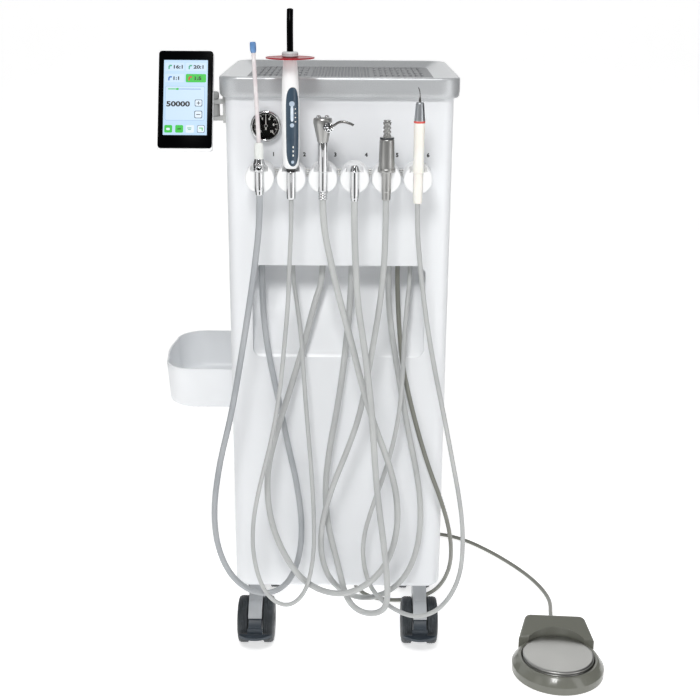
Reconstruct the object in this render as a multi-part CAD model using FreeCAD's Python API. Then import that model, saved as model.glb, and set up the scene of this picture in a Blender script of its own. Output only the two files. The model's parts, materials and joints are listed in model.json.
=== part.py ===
"""Portable dental unit: a wheeled cabinet with six instruments, an instrument tray, a touch display on a
side arm, a storage cup and a foot control on a hose.

Millimetres. The model is laid out about the cabinet: x is to its right, y to its back and z up from the
floor, with the zero under the middle of the cabinet. Each piece is moved by the same step when it is
written, so that the origin of the finished frame lies on the floor under the middle of the whole unit.
"""

import FreeCAD
import Part
import math
import os

V = FreeCAD.Vector
X_AXIS = V(1, 0, 0)
Y_AXIS = V(0, 1, 0)
Z_AXIS = V(0, 0, 1)

# ---------------------------------------------------------------- driving dimensions
# clearances
RUN_GAP = 0.05          # radial play of a shaft in its bore
SLIDE_GAP = 0.3         # play between faces that pass each other
MOVE_GAP = 1.0          # room between bodies that only pass near each other

# cabinet
CAB_W = 295.0
CAB_D = 295.0
CAB_BOTTOM = 115.5
CAB_TOP = 828.0
CAB_CORNER = 18.0
CAB_EDGE = 10.0         # rounding of the bottom edge
WALL = 3.0

# hose recess in the front
RECESS_W = 232.0
RECESS_BOTTOM = 466.0
RECESS_LIP = 594.0      # lower edge of the front above the recess
RECESS_DEPTH = 45.0
RECESS_ROOF = 612.0
RECESS_CORNER = 13.0
LIP_T = 6.0
GLAND_BACK = 22.0       # hose glands behind the front face
GLAND_BOTTOM = 598.0

# top tray
TRAY_OVER = 7.5         # how far the tray stands out past the cabinet
TRAY_TOP = 839.5
TRAY_RIM_H = 26.0
TRAY_CORNER = 27.0
TRAY_RIM_W = 10.0
TRAY_SLOPE_W = 18.0
TRAY_WELL = 9.5
TRAY_TAPER = 2.5
MAT_T = 1.5
MAT_RIB_H = 1.5
MAT_RIB_W = 3.5
MAT_RIB_L = 26.0
MAT_RIB_PITCH = 8.0
MAT_RIBS_PER_SIDE = 9
MAT_ROWS = 6

# instrument holders
HOLDERS = 6
HOLDER_PITCH = 40.0
HOLDER_R = 18.25
HOLDER_Z = 718.0
HOLDER_FRONT = 53.0     # holder faces in front of the cabinet
INSTRUMENT_OUT = 52.0   # instrument axes in front of the cabinet
SHANK_R = 6.0           # the part of an instrument that a holder grips
SHANK_PLAY = 0.1        # between a gripped instrument and its holder
SEAT_R = 11.2
SEAT_Z = 727.0
BAR_Z = 719.5
BAR_H = 11.0
BAR_T = 12.0
BAR_W = 236.0

# pressure gauge
GAUGE_R = 20.0
GAUGE_X = -94.0
GAUGE_Z = 778.0
GAUGE_OUT = 9.0
GAUGE_BACK = 22.0
GAUGE_STEM_R = 14.0
GAUGE_DIAL_IN = 4.5     # dial behind the front of the bezel
GAUGE_PIN_R = 1.2       # the pointer's pin

# display and its arm
SCREEN_W = 70.0
SCREEN_H = 127.0
SCREEN_T = 11.0
GLASS_T = 1.8
SCREEN_TILT = 22.0      # leaning back, degrees
SCREEN_OUT = 48.5       # middle of the screen out from the left wall
SCREEN_BACK = -5.0      # middle of the screen behind the cabinet's front face
SCREEN_Z = 811.0
ARM_PIN_OUT = 18.5      # upright pin out from the left wall
ARM_PIN_BACK = 38.0
ARM_PIN_R = 5.0
ARM_Z = 786.0
ARM_H = 15.0
ARM_T = 12.0

# side cup
CUP_OUT = 106.0
CUP_L = 195.0
CUP_H = 59.5
CUP_RIM_Z = 427.5
CUP_Y = 10.0
CUP_WALL = 2.6
CUP_DRAFT = 4.0
CUP_GAP = 0.5
CUP_ROUND = 0.42        # corner radius as a share of the width
CUP_BOW = 4.0           # bulge of the long side
CUP_STUD_PITCH = 110.0
CUP_STUD_R = 3.0
CUP_STUD_HEAD_R = 6.0
CUP_LIFT = 14.0

# casters
CASTER_IN = 25.5         # spindles in from the side walls
CASTER_FRONT_IN = 76.0   # front spindles behind the front face
CASTER_REAR_IN = 47.5
CASTER_TRAIL = 25.0
WHEEL_R = 35.0
WHEEL_W = 17.0
WHEEL_SPACE = 21.0      # between the two wheels of a caster
AXLE_R = 4.0
HOOD_W = 20.0
HOOD_OVER = 3.5          # the body stands out past the wheels
MOUNT_R = 15.5
HOOD_PLAY = 0.8          # between the mount and the body that turns under it
MOUNT_T = 5.0
MOUNT_SLEEVE_R = 9.0
SPINDLE_R = 5.5
SPINDLE_TOP = 133.0
BRAKE_W = 19.0
BRAKE_PIN_R = 2.0
BRAKE_PIVOT_Y = -16.0   # from the axle
BRAKE_PIVOT_UP = 13.0    # above the axle
BRAKE_PAD_W = 50.0
BRAKE_PAD_GAP = 3.0      # between the wheels and the pad
BRAKE_PAD_REACH = 12.5
BRAKE_PAD_DOWN = 8.5     # underside of the pad below the axle
BRAKE_PAD_T = 4.0

# rear panel
PANEL_W = 225.0
PANEL_LOW = 165.0
PANEL_HIGH = 765.0
PANEL_T = 2.0
PANEL_LAP = 12.0
SCREW_R = 4.0
LOUVRES = 7
LOUVRE_PITCH = 16.0
LOUVRE_L = 130.0
LOUVRE_H = 6.0
LOUVRE_Z = 560.0
INLET_X = -55.0
INLET_Z = 219.0         # lower edge of the cut-out that the inlet and the switch share
INLET_W = 50.0
INLET_H = 32.0
SWITCH_X = 10.0
SWITCH_W = 22.0
SWITCH_H = 30.0

# inside
PLATE_T = 3.0
SHELF_Z = 462.0
SHELF_T = 2.0
TANK_R = 58.0
TANK_L = 236.0
TANK_Z = 340.0
BOTTLE_R = 42.0
BOTTLE_H = 130.0

# foot control
PEDAL_X = 320.0
PEDAL_BACK = -30.0      # middle of the disc behind the cabinet's front face
PEDAL_RIM_W = 13.0       # sloping rim around the well
PEDAL_H = 24.0
PEDAL_DISC_GAP = 2.0     # around the disc in its well
PEDAL_WELL_Z = 9.0
PEDAL_DISC_R = 51.0
PEDAL_DISC_T = 9.0
PEDAL_DISC_Z = 19.0     # underside of the disc
PEDAL_TRAVEL = 5.0
PEDAL_STEM_R = 8.0
PEDAL_HOOD_H = 50.0
PEDAL_HOOD_LOW_H = 33.0  # its top slopes down to this at the front
PEDAL_HOOD_W = 110.0
PEDAL_HOOD_BACK_W = 86.0
PEDAL_HOOD_REACH = 10.0  # back of the hood behind the round base
PEDAL_HOOD_L = 42.0
PEDAL_HOOD_CORNER = 10.0
PEDAL_SKIRT_H = 12.0     # upright part of the base's rim
PEDAL_YAW = -4.0
PEDAL_HOSE_Z = 18.0
PEDAL_BOOT_L = 12.2

# hoses: outside diameters
HOSE_D = {
    "ejector_hose": 8.2,
    "curing_light_cable": 5.8,
    "syringe_hose": 8.5,
    "high_speed_hose": 8.5,
    "motor_hose": 8.0,
    "scaler_hose": 6.3,
    "pedal_hose": 6.2,
}

# ---------------------------------------------------------------- hose routes
# Points as (x, distance behind the front face, z). Each instrument hose starts under its instrument, hangs
# in front of the cabinet and rises again to its gland in the recess. The foot control hose leaves the recess,
# runs under the cabinet between the casters and along the floor to the foot control.
ROUTES = {
    "ejector_hose": [
        (-100, -52, 697), (-100, -52, 665), (-107, -54, 607), (-115, -56, 555), (-126, -56, 489),
        (-142, -56, 401), (-160, -56, 331), (-170, -56, 260), (-165, -54, 200), (-144, -49, 151),
        (-108, -43, 126), (-73, -37, 135), (-54, -29, 173), (-49, -25, 227), (-57, -19, 289),
        (-69, -15, 343), (-77, -13, 386), (-87, -13, 437), (-96, -11, 485), (-102, 4, 533),
        (-104, 22, 569), (-104, 22, 598),
    ],
    "curing_light_cable": [
        (-60, -52, 692), (-60, -52, 660), (-63, -53, 607), (-65, -56, 555), (-70, -58, 501),
        (-77, -60, 433), (-88, -62, 370), (-106, -64, 300), (-116, -66, 246), (-115, -68, 192),
        (-100, -68, 141), (-71, -64, 118), (-45, -58, 135), (-33, -51, 183), (-32, -45, 245),
        (-36, -39, 317), (-42, -35, 391), (-46, -31, 447), (-49, -22, 497), (-56, -4, 545),
        (-62, 22, 571), (-62, 22, 598),
    ],
    "syringe_hose": [
        (-20, -52, 692), (-20, -52, 660), (-8, -55, 604), (3, -58, 558), (17, -60, 508), (32, -62, 446),
        (49, -62, 390), (68, -62, 340), (81, -60, 289), (83, -58, 237), (72, -56, 189), (48, -53, 153),
        (14, -50, 132), (-21, -48, 135), (-51, -46, 154), (-73, -44, 188), (-89, -42, 227),
        (-97, -39, 272), (-96, -36, 318), (-84, -30, 367), (-69, -24, 414), (-55, -16, 459),
        (-43, -7, 500), (-32, 5, 543), (-22, 22, 569), (-22, 22, 598),
    ],
    "high_speed_hose": [
        (20, -52, 690), (20, -52, 658), (22, -60, 613), (25, -66, 559), (33, -72, 511), (40, -74, 460),
        (46, -75, 402), (50, -75, 341), (55, -74, 285), (63, -72, 227), (69, -69, 172), (71, -61, 120),
        (54, -52, 102), (29, -43, 102), (12, -38, 121), (2, -35, 166), (-14, -29, 229), (-18, -22, 281),
        (-12, -19, 339), (-1, -16, 398), (7, -15, 457), (13, -3, 512), (17, 22, 567), (17, 22, 598),
    ],
    "motor_hose": [
        (60, -52, 692), (60, -52, 660), (59, -52, 607), (54, -50, 552), (46, -47, 497), (38, -45, 447),
        (29, -44, 397), (14, -44, 350), (-7, -44, 295), (-21, -43, 244), (-24, -40, 196),
        (-15, -31, 152), (7, -24, 122), (38, -21, 109), (71, -20, 118), (98, -19, 144), (114, -20, 191),
        (117, -20, 250), (109, -19, 308), (96, -18, 367), (84, -18, 432), (73, -12, 494), (67, 4, 541),
        (67, 22, 569), (67, 22, 598),
    ],
    "scaler_hose": [
        (100, -52, 688), (100, -52, 656), (105, -52, 607), (112, -52, 553), (120, -53, 505),
        (130, -54, 455), (142, -55, 401), (155, -55, 338), (168, -54, 274), (174, -52, 222),
        (173, -50, 170), (161, -47, 130), (139, -44, 101), (109, -41, 91), (77, -38, 104),
        (49, -35, 129), (36, -32, 170), (36, -29, 212), (49, -27, 259), (64, -26, 304), (76, -27, 351),
        (84, -29, 403), (87, -27, 454), (88, -18, 500), (92, 0, 543), (96, 22, 569), (96, 22, 598),
    ],
    "pedal_hose": [
        (79, 22, 598), (79, 22, 571), (80, 12, 540), (82, -2, 507), (86, -9, 464), (96, -10, 416),
        (110, -11, 362), (127, -11, 307), (143, -9, 265), (158, 12, 213), (167, 46, 161),
        (171, 94, 104), (165, 136, 54), (150, 157, 23), (120, 164, 7), (82, 166, 3.2), (47, 179, 3.2),
        (26, 212, 3.2), (23, 256, 3.2), (34, 301, 3.2), (60, 345, 3.2), (96, 382, 3.2), (137, 408, 3.2),
        (181, 409, 3.2), (223, 385, 3.2), (261, 342, 3.2), (292, 297, 3.2), (317, 252, 3.2),
        (332, 212, 3.2), (339, 178, 3.2), (337, 146, 8), (332, 116, 14), (328, 87, 18), (326, 58, 18),
    ],
}

# ---------------------------------------------------------------- worked out from the above
FRONT = -CAB_D / 2
BACK = CAB_D / 2
SIDE = CAB_W / 2
SCREEN_X = -SIDE - SCREEN_OUT
ARM_PIN_X = -SIDE - ARM_PIN_OUT
CASTER_X = SIDE - CASTER_IN
CASTER_FRONT_Y = FRONT + CASTER_FRONT_IN
CASTER_REAR_Y = BACK - CASTER_REAR_IN
HOOD_R = WHEEL_R + HOOD_OVER
BRAKE_PIVOT_Z = WHEEL_R + BRAKE_PIVOT_UP
PEDAL_WELL_R = PEDAL_DISC_R + PEDAL_DISC_GAP
PEDAL_R = PEDAL_WELL_R + PEDAL_RIM_W
PEDAL_HOOD_BACK = PEDAL_R + PEDAL_HOOD_REACH    # back and front of the hood behind the disc's middle
PEDAL_HOOD_FRONT = PEDAL_HOOD_BACK - PEDAL_HOOD_L
FLOOR_IN = CAB_BOTTOM + WALL
PLATE_TOP = FLOOR_IN + PLATE_T
INSTRUMENT_Y = FRONT - INSTRUMENT_OUT
GLAND_Y = FRONT + GLAND_BACK
HOLDER_X = [HOLDER_PITCH * (i - (HOLDERS - 1) / 2) for i in range(HOLDERS)]
PEDAL_Y = FRONT + PEDAL_BACK
CUP_X_OUT = -SIDE - CUP_GAP - CUP_OUT
UNIT_LEFT = CUP_X_OUT
UNIT_RIGHT = PEDAL_X + PEDAL_R
UNIT_FRONT = PEDAL_Y - PEDAL_R
UNIT_BACK = BACK + TRAY_OVER
ORIGIN_STEP = V(-(UNIT_LEFT + UNIT_RIGHT) / 2, -(UNIT_FRONT + UNIT_BACK) / 2, 0)


# ---------------------------------------------------------------- helpers
def save(name, *shapes):
    """Writes one node, moved into the finished frame."""
    piece = shapes[0] if len(shapes) == 1 else Part.makeCompound(list(shapes))
    piece = piece.copy()
    piece.translate(ORIGIN_STEP)
    piece.exportStep("parts/%s.step" % name)
    print("%-24s %9.0f mm3 %s" % (name, piece.Volume, "" if piece.isValid() else "NOT VALID"))


def block(x0, x1, y0, y1, z0, z1):
    return Part.makeBox(x1 - x0, y1 - y0, z1 - z0, V(x0, y0, z0))


def rod(radius, length, start, axis=Z_AXIS):
    return Part.makeCylinder(radius, length, start, axis)


def cone(low_r, high_r, length, start, axis=Z_AXIS):
    return Part.makeCone(low_r, high_r, length, start, axis)


def prism(points, along):
    """A closed outline pushed along a vector."""
    wire = Part.makePolygon(points + [points[0]])
    return Part.Face(wire).extrude(along)


def turned(profile, centre, axis=Z_AXIS):
    """A solid turned from (radius, height) pairs about a line through the centre."""
    points = [V(r, 0, h) for r, h in profile]
    wire = Part.makePolygon(points + [points[0]])
    solid = Part.Face(wire).revolve(V(0, 0, 0), Z_AXIS, 360)
    solid.Placement = FreeCAD.Placement(centre, FreeCAD.Rotation(Z_AXIS, axis))
    return solid


def rounded_outline(width, depth, radius, z):
    """A rectangle with round corners, about the middle, at a height."""
    x, y = width / 2, depth / 2
    edges = []
    for i, (sx, sy) in enumerate([(1, 1), (-1, 1), (-1, -1), (1, -1)]):
        centre = V(sx * (x - radius), sy * (y - radius), z)
        edges.append(Part.makeCircle(radius, centre, Z_AXIS, 90 * i, 90 * i + 90))
    sides = []
    for i, arc in enumerate(edges):
        after = edges[(i + 1) % 4]
        sides += [arc, Part.makeLine(arc.lastVertex().Point, after.firstVertex().Point)]
    return Part.Wire(sides)


def rounded_box(width, depth, z0, z1, radius):
    return Part.Face(rounded_outline(width, depth, radius, z0)).extrude(V(0, 0, z1 - z0))


def tapered_box(low, high, z0, z1):
    """A loft between two round-cornered rectangles, each (width, depth, radius)."""
    return Part.makeLoft([rounded_outline(*low, z0), rounded_outline(*high, z1)], True, True)


def moved(shape, x=0.0, y=0.0, z=0.0):
    out = shape.copy()
    out.translate(V(x, y, z))
    return out


def turned_by(shape, degrees, centre, axis=Z_AXIS):
    out = shape.copy()
    out.rotate(centre, axis, degrees)
    return out


def edges_where(shape, test):
    return [e for e in shape.Edges if test(e)]


def level_edges(shape, z, tol=0.01):
    """The edges that lie at one height."""
    return edges_where(shape, lambda e: abs(e.BoundBox.ZMin - z) < tol and abs(e.BoundBox.ZMax - z) < tol)


# ---------------------------------------------------------------- cabinet
def front_outline(low, high, radius, y, depth):
    """A round-cornered block set into the front between two heights."""
    flat = Part.Face(rounded_outline(RECESS_W, high - low, radius, 0)).extrude(V(0, 0, depth))
    flat.Placement = FreeCAD.Placement(V(0, y + depth, (low + high) / 2), FreeCAD.Rotation(X_AXIS, 90))
    return flat


def recess_side(grow):
    """Side view of the recess: a soft S from the front face up to the full depth, then the roof."""
    low = RECESS_BOTTOM - grow
    depth = RECESS_DEPTH + grow
    front = FRONT - 5
    top = RECESS_ROOF + grow
    foot = V(0, FRONT - grow, low)
    head = V(0, FRONT + depth, RECESS_LIP - 12)
    poles = [
        foot,
        V(0, FRONT + 4, low + 8),
        V(0, FRONT + 0.55 * depth, (low + RECESS_LIP) / 2),
        V(0, FRONT + depth - 3, head.z - 26),
        head,
    ]
    slope = Part.BSplineCurve()
    slope.buildFromPoles(poles, False, 3)
    corners = [head, V(0, head.y, top), V(0, front, top), V(0, front, low), foot]
    edges = [slope.toShape()] + [Part.makeLine(p, q) for p, q in zip(corners, corners[1:])]
    half = RECESS_W / 2 + grow
    side = Part.Face(Part.Wire(edges)).extrude(V(2 * half, 0, 0))
    side.translate(V(-half, 0, 0))
    return side


def recess_space():
    """The hollow of the recess: wide behind the lip, with a round-cornered mouth through it."""
    y0 = FRONT + LIP_T
    behind = block(-RECESS_W, RECESS_W, y0, y0 + 2 * RECESS_DEPTH, RECESS_BOTTOM, RECESS_ROOF + 1)
    mouth = front_outline(RECESS_BOTTOM, RECESS_LIP, RECESS_CORNER, FRONT - 5, LIP_T + 6)
    return recess_side(0).common(behind.fuse(mouth))


def cup_keyholes():
    """Two keyhole slots through the left wall, which the cup's studs drop into."""
    slots = []
    for side in (-1, 1):
        y = CUP_Y + side * CUP_STUD_PITCH / 2
        z = CUP_RIM_Z - 14
        neck = CUP_STUD_R + SLIDE_GAP
        head = CUP_STUD_HEAD_R + SLIDE_GAP
        x = -SIDE - 1
        slots.append(rod(neck, WALL + 2, V(x, y, z), X_AXIS))
        slots.append(block(x, x + WALL + 2, y - neck, y + neck, z, z + CUP_LIFT))
        slots.append(rod(head, WALL + 2, V(x, y, z + CUP_LIFT), X_AXIS))
    return slots


def cabinet_shell():
    outer = rounded_box(CAB_W, CAB_D, CAB_BOTTOM, CAB_TOP, CAB_CORNER)
    outer = outer.makeFillet(CAB_EDGE, level_edges(outer, CAB_BOTTOM))
    inner = rounded_box(CAB_W - 2 * WALL, CAB_D - 2 * WALL, FLOOR_IN, CAB_TOP + 1, CAB_CORNER - WALL)
    pocket = recess_side(WALL).common(outer)
    shell = outer.cut(inner).fuse(pocket).cut(recess_space())
    opening_w = PANEL_W - 2 * PANEL_LAP
    y0 = BACK - WALL - 1
    cuts = [
        block(-opening_w / 2, opening_w / 2, y0, BACK + 1, PANEL_LOW + PANEL_LAP, PANEL_HIGH - PANEL_LAP),
        rod(GAUGE_STEM_R + RUN_GAP, WALL + 2, V(GAUGE_X, FRONT - 1, GAUGE_Z), Y_AXIS),
    ]
    for x, y in caster_places().values():
        cuts.append(rod(MOUNT_SLEEVE_R + RUN_GAP, WALL + 2, V(x, y, CAB_BOTTOM - 1)))
    for x, d in gland_places():
        cuts.append(rod(gland_neck(d) + RUN_GAP, 12, V(x, GLAND_Y, RECESS_ROOF - 4)))
    for x, z in panel_screw_places():
        cuts.append(rod(SCREW_R / 2 + RUN_GAP, WALL + 2, V(x, y0, z), Y_AXIS))
    cuts += cup_keyholes()
    for hole in cuts:
        shell = shell.cut(hole)
    return shell


def base_plate():
    """Steel plate on the cabinet's floor that carries the casters and the compressor."""
    plate = rounded_box(CAB_W - 2 * WALL - 2, CAB_D - 2 * WALL - 2, FLOOR_IN, PLATE_TOP, CAB_CORNER - WALL)
    for x, y in caster_places().values():
        plate = plate.cut(rod(MOUNT_SLEEVE_R + RUN_GAP, PLATE_T + 2, V(x, y, FLOOR_IN - 1)))
    return plate


def equipment_shelf():
    """A shelf on two folded flanges, screwed to the side walls."""
    half = SIDE - WALL
    y0 = FRONT + RECESS_DEPTH + 3 * WALL
    y1 = BACK - CAB_CORNER
    shelf = block(-half, half, y0, y1, SHELF_Z, SHELF_Z + SHELF_T)
    for x in (-half, half - SHELF_T):
        shelf = shelf.fuse(block(x, x + SHELF_T, y0, y1, SHELF_Z - 25, SHELF_Z))
    return shelf.removeSplitter()


def top_tray():
    w = CAB_W + 2 * TRAY_OVER
    d = CAB_D + 2 * TRAY_OVER
    low = TRAY_TOP - TRAY_RIM_H
    bend = low + 8
    rim_r = TRAY_CORNER
    upper = rounded_box(w, d, bend, TRAY_TOP, rim_r)
    taper = 2 * TRAY_TAPER
    lower = tapered_box((w - taper, d - taper, rim_r - TRAY_TAPER), (w, d, rim_r), low, bend)
    body = upper.fuse(lower).removeSplitter()
    body = body.makeFillet(2.5, level_edges(body, TRAY_TOP))
    inset = 2 * TRAY_RIM_W
    flare = 2 * (TRAY_RIM_W + TRAY_SLOPE_W)
    mouth = (w - inset, d - inset, rim_r - TRAY_RIM_W / 2)
    floor = (w - flare, d - flare, rim_r - TRAY_RIM_W)
    well = tapered_box(floor, mouth, TRAY_TOP - TRAY_WELL, TRAY_TOP)
    body = body.cut(well)
    play = 2 * SLIDE_GAP
    hollow = rounded_box(CAB_W + play, CAB_D + play, low - 1, CAB_TOP, CAB_CORNER + SLIDE_GAP)
    body = body.cut(hollow)
    return body


def tray_mat():
    """Anti-slip mat in the well, with rows of ribs at its sides and studs in the middle."""
    w = CAB_W + 2 * TRAY_OVER - 2 * (TRAY_RIM_W + TRAY_SLOPE_W) - 2
    d = CAB_D + 2 * TRAY_OVER - 2 * (TRAY_RIM_W + TRAY_SLOPE_W) - 2
    z = TRAY_TOP - TRAY_WELL
    mat = rounded_box(w, d, z, z + MAT_T, TRAY_CORNER - TRAY_RIM_W - 1)
    row_pitch = (d - 20) / MAT_ROWS
    ribs = []
    for row in range(MAT_ROWS):
        y = -d / 2 + 10 + row_pitch * (row + 0.5)
        for i in range(MAT_RIBS_PER_SIDE):
            for side in (-1, 1):
                x = side * (w / 2 - 14 - i * MAT_RIB_PITCH)
                ribs.append(
                    block(
                        x - MAT_RIB_W / 2, x + MAT_RIB_W / 2,
                        y - MAT_RIB_L / 2, y + MAT_RIB_L / 2,
                        z + MAT_T, z + MAT_T + MAT_RIB_H,
                    )
                )
    return mat.fuse(ribs).removeSplitter()


# ---------------------------------------------------------------- rear panel
def panel_screw_places():
    x = (PANEL_W - PANEL_LAP) / 2
    low = PANEL_LOW + PANEL_LAP / 2
    high = PANEL_HIGH - PANEL_LAP / 2
    return [(side * x, z) for side in (-1, 1) for z in (low, (low + high) / 2, high)]


def rear_panel():
    panel = block(-PANEL_W / 2, PANEL_W / 2, BACK, BACK + PANEL_T, PANEL_LOW, PANEL_HIGH)
    upright = edges_where(panel, lambda e: e.BoundBox.YLength > PANEL_T - 0.01)
    panel = panel.makeFillet(8, upright)
    holes = []
    for i in range(LOUVRES):
        z = LOUVRE_Z + i * LOUVRE_PITCH
        holes.append(block(-LOUVRE_L / 2, LOUVRE_L / 2, BACK - 1, BACK + PANEL_T + 1, z, z + LOUVRE_H))
    x0, x1, z0, z1 = inlet_cutout()
    holes.append(block(x0, x1, BACK - 1, BACK + PANEL_T + 1, z0, z1))
    for x, z in panel_screw_places():
        holes.append(rod(SCREW_R / 2 + RUN_GAP, PANEL_T + 2, V(x, BACK - 1, z), Y_AXIS))
    return panel.cut(holes)


def panel_screws():
    screws = []
    for x, z in panel_screw_places():
        shank = rod(SCREW_R / 2, 12, V(x, BACK + PANEL_T - 12, z), Y_AXIS)
        face = BACK + PANEL_T
        profile = [(0, 0), (SCREW_R, 0), (SCREW_R, 1.4), (SCREW_R - 1.2, 2.6), (0, 2.6)]
        head = turned(profile, V(x, face, z), Y_AXIS)
        cross = block(x - 0.5, x + 0.5, face + 1.4, face + 3, z - 2.2, z + 2.2)
        bar = block(x - 2.2, x + 2.2, face + 1.4, face + 3, z - 0.5, z + 0.5)
        screws.append(shank.fuse(head).cut([cross, bar]))
    return screws


SWITCH_PIVOT = V(SWITCH_X, BACK - 2, INLET_Z + INLET_H / 2)
SWITCH_PIN_R = 1.5
SWITCH_WALL = 2.5       # frame beside the rocker


def inlet_cutout():
    """The one opening in the rear panel for the inlet and the switch: two x and two z."""
    return INLET_X - INLET_W / 2, SWITCH_X + SWITCH_W / 2, INLET_Z, INLET_Z + INLET_H


def power_inlet():
    """Three-pin appliance inlet and the frame of the mains switch beside it, as one module."""
    x0, x1, z0, z1 = inlet_cutout()
    z = (z0 + z1) / 2
    face = BACK + PANEL_T
    flange = block(x0 - 4, x1 + 4, face, face + 2, z0 - 4, z1 + 4)
    body = block(x0 + 0.5, x1 - 0.5, face - 24, face, z0 + 0.5, z1 - 0.5)
    socket = block(INLET_X - 12, INLET_X + 12, face - 16, face + 3, z - 9, z + 9)
    half = SWITCH_W / 2 - SWITCH_WALL + 0.5
    bay = block(SWITCH_X - half, SWITCH_X + half, face - 16, face + 3, z - 13.8, z + 13.8)
    inlet = flange.fuse(body).cut([socket, bay])
    for x, up in ((-7, -2), (0, 3), (7, -2)):
        pin = block(INLET_X + x - 1, INLET_X + x + 1, face - 17, face - 2, z + up - 2.5, z + up + 2.5)
        inlet = inlet.fuse(pin)
    pin_l = 2 * half + 2
    inlet = inlet.fuse(rod(SWITCH_PIN_R, pin_l, SWITCH_PIVOT - V(pin_l / 2, 0, 0), X_AXIS))
    return inlet.removeSplitter()


def power_switch():
    """Rocker on the pin of its frame, resting with its lower half pressed in."""
    half = SWITCH_H / 2 - 1.5
    y = SWITCH_PIVOT.y
    z = SWITCH_PIVOT.z
    width = SWITCH_W - 2 * SWITCH_WALL
    x = SWITCH_X - width / 2
    outline = [
        V(x, y - 5, z - half + 4), V(x, y + 4, z - half), V(x, y + 5, z),
        V(x, y + 9, z + half - 2.5), V(x, y - 3, z + half - 1),
    ]
    rocker = prism(outline, V(width, 0, 0))
    return rocker.cut(rod(SWITCH_PIN_R + RUN_GAP, SWITCH_W, SWITCH_PIVOT - V(SWITCH_W / 2, 0, 0), X_AXIS))


# ---------------------------------------------------------------- inside the cabinet
def compressor():
    """Oil-free compressor: a motor with a finned cylinder head at each end, on rubber feet."""
    z = PLATE_TOP + 70
    parts = [rod(38, 110, V(-55, 0, z), X_AXIS)]
    for side in (-1, 1):
        x = side * 55
        crank = rod(32, 30, V(min(x, x + side * 30), 0, z), X_AXIS)
        parts.append(crank)
        head_x = x + side * 15
        parts.append(rod(19, 62, V(head_x, 0, z)))
        for i in range(4):
            parts.append(block(head_x - 24, head_x + 24, -24, 24, z + 36 + 7 * i, z + 39 + 7 * i))
    for x in (-40, 40):
        for y in (-24, 24):
            parts.append(rod(7, z - 20 - PLATE_TOP, V(x, y, PLATE_TOP)))
    body = parts[0]
    return body.fuse(parts[1:]).removeSplitter()


def air_tank():
    """Air receiver with domed ends, standing on two feet on the base plate."""
    straight = TANK_L / 2 - TANK_R / 2
    y = 60.0
    end = TANK_L / 2
    profile = [(0, -end), (TANK_R * 0.55, -end + 5), (TANK_R * 0.88, -straight - 12), (TANK_R, -straight)]
    profile += [(r, -h) for r, h in reversed(profile)]
    tank = turned(profile, V(0, y, TANK_Z), X_AXIS)
    for x in (-70, 70):
        leg = block(x - 3, x + 3, y - 20, y + 30, PLATE_TOP, TANK_Z - TANK_R / 2)
        tank = tank.fuse(leg)
    return tank.removeSplitter()


def water_bottle():
    """Screw-capped bottle for clean water, standing on the shelf."""
    z = SHELF_Z + SHELF_T
    r = BOTTLE_R
    h = BOTTLE_H
    profile = [
        (0, 0), (r - 4, 0), (r, 4), (r, h - 28), (r * 0.8, h - 14), (17, h - 8), (17, h), (21, h),
        (21, h + 20), (0, h + 20),
    ]
    return turned(profile, V(-80, 60, z))


def control_board():
    """Circuit board upright on the shelf, with its transformer, capacitors and connectors."""
    z = SHELF_Z + SHELF_T
    board = block(20, 130, 88, 89.6, z + 6, z + 120)
    foot_l = block(24, 32, 82, 96, z, z + 8)
    foot_r = block(118, 126, 82, 96, z, z + 8)
    pieces = [foot_l, foot_r, block(30, 74, 60, 88, z + 14, z + 50)]
    pieces += [rod(6, 22, V(90 + 15 * i, 66, z + 34), Y_AXIS) for i in range(3)]
    pieces += [block(34 + 22 * i, 50 + 22 * i, 76, 88, z + 98, z + 112) for i in range(4)]
    return board.fuse(pieces).removeSplitter()


def valve_manifold():
    """Valve block on the front wall above the recess, one solenoid and one nipple for each hose."""
    y0 = FRONT + WALL
    body = block(-125, 125, y0, y0 + 42, 646, 676)
    parts = []
    for x, d in gland_places():
        parts.append(rod(d / 2 - 0.5, 10, V(x, GLAND_Y, 636)))
        parts.append(block(x - 6, x + 6, y0 + 8, y0 + 34, 676, 706))
    return body.fuse(parts).removeSplitter()


# ---------------------------------------------------------------- hose glands
def gland_places():
    """Where each hose leaves the recess, and its diameter."""
    ends = {name: route[0 if name == "pedal_hose" else -1] for name, route in ROUTES.items()}
    return [(end[0], HOSE_D[name]) for name, end in ends.items()]


def gland_neck(diameter):
    return diameter / 2 - 0.4


def hose_glands():
    """Tapered boots under the roof of the recess, each with a neck up through it."""
    out = []
    for x, d in gland_places():
        r = d / 2
        h = RECESS_ROOF - GLAND_BOTTOM
        neck = gland_neck(d)
        profile = [
            (0, 0), (r + 0.8, 0), (r + 1.6, h - 3), (r + 2.4, h - 3), (r + 2.4, h),
            (neck, h), (neck, h + 9), (0, h + 9),
        ]
        out.append(turned(profile, V(x, GLAND_Y, GLAND_BOTTOM)))
    r = HOSE_D["pedal_hose"] / 2
    start = V(PEDAL_X, PEDAL_Y + PEDAL_HOOD_BACK, PEDAL_HOSE_Z)
    profile = [(0, 0), (r + 2.4, 0), (r + 2.2, 3), (r + 0.8, PEDAL_BOOT_L), (0, PEDAL_BOOT_L)]
    boot = turned(profile, start, Y_AXIS)
    out.append(pedal_turned(boot))
    return out


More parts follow.
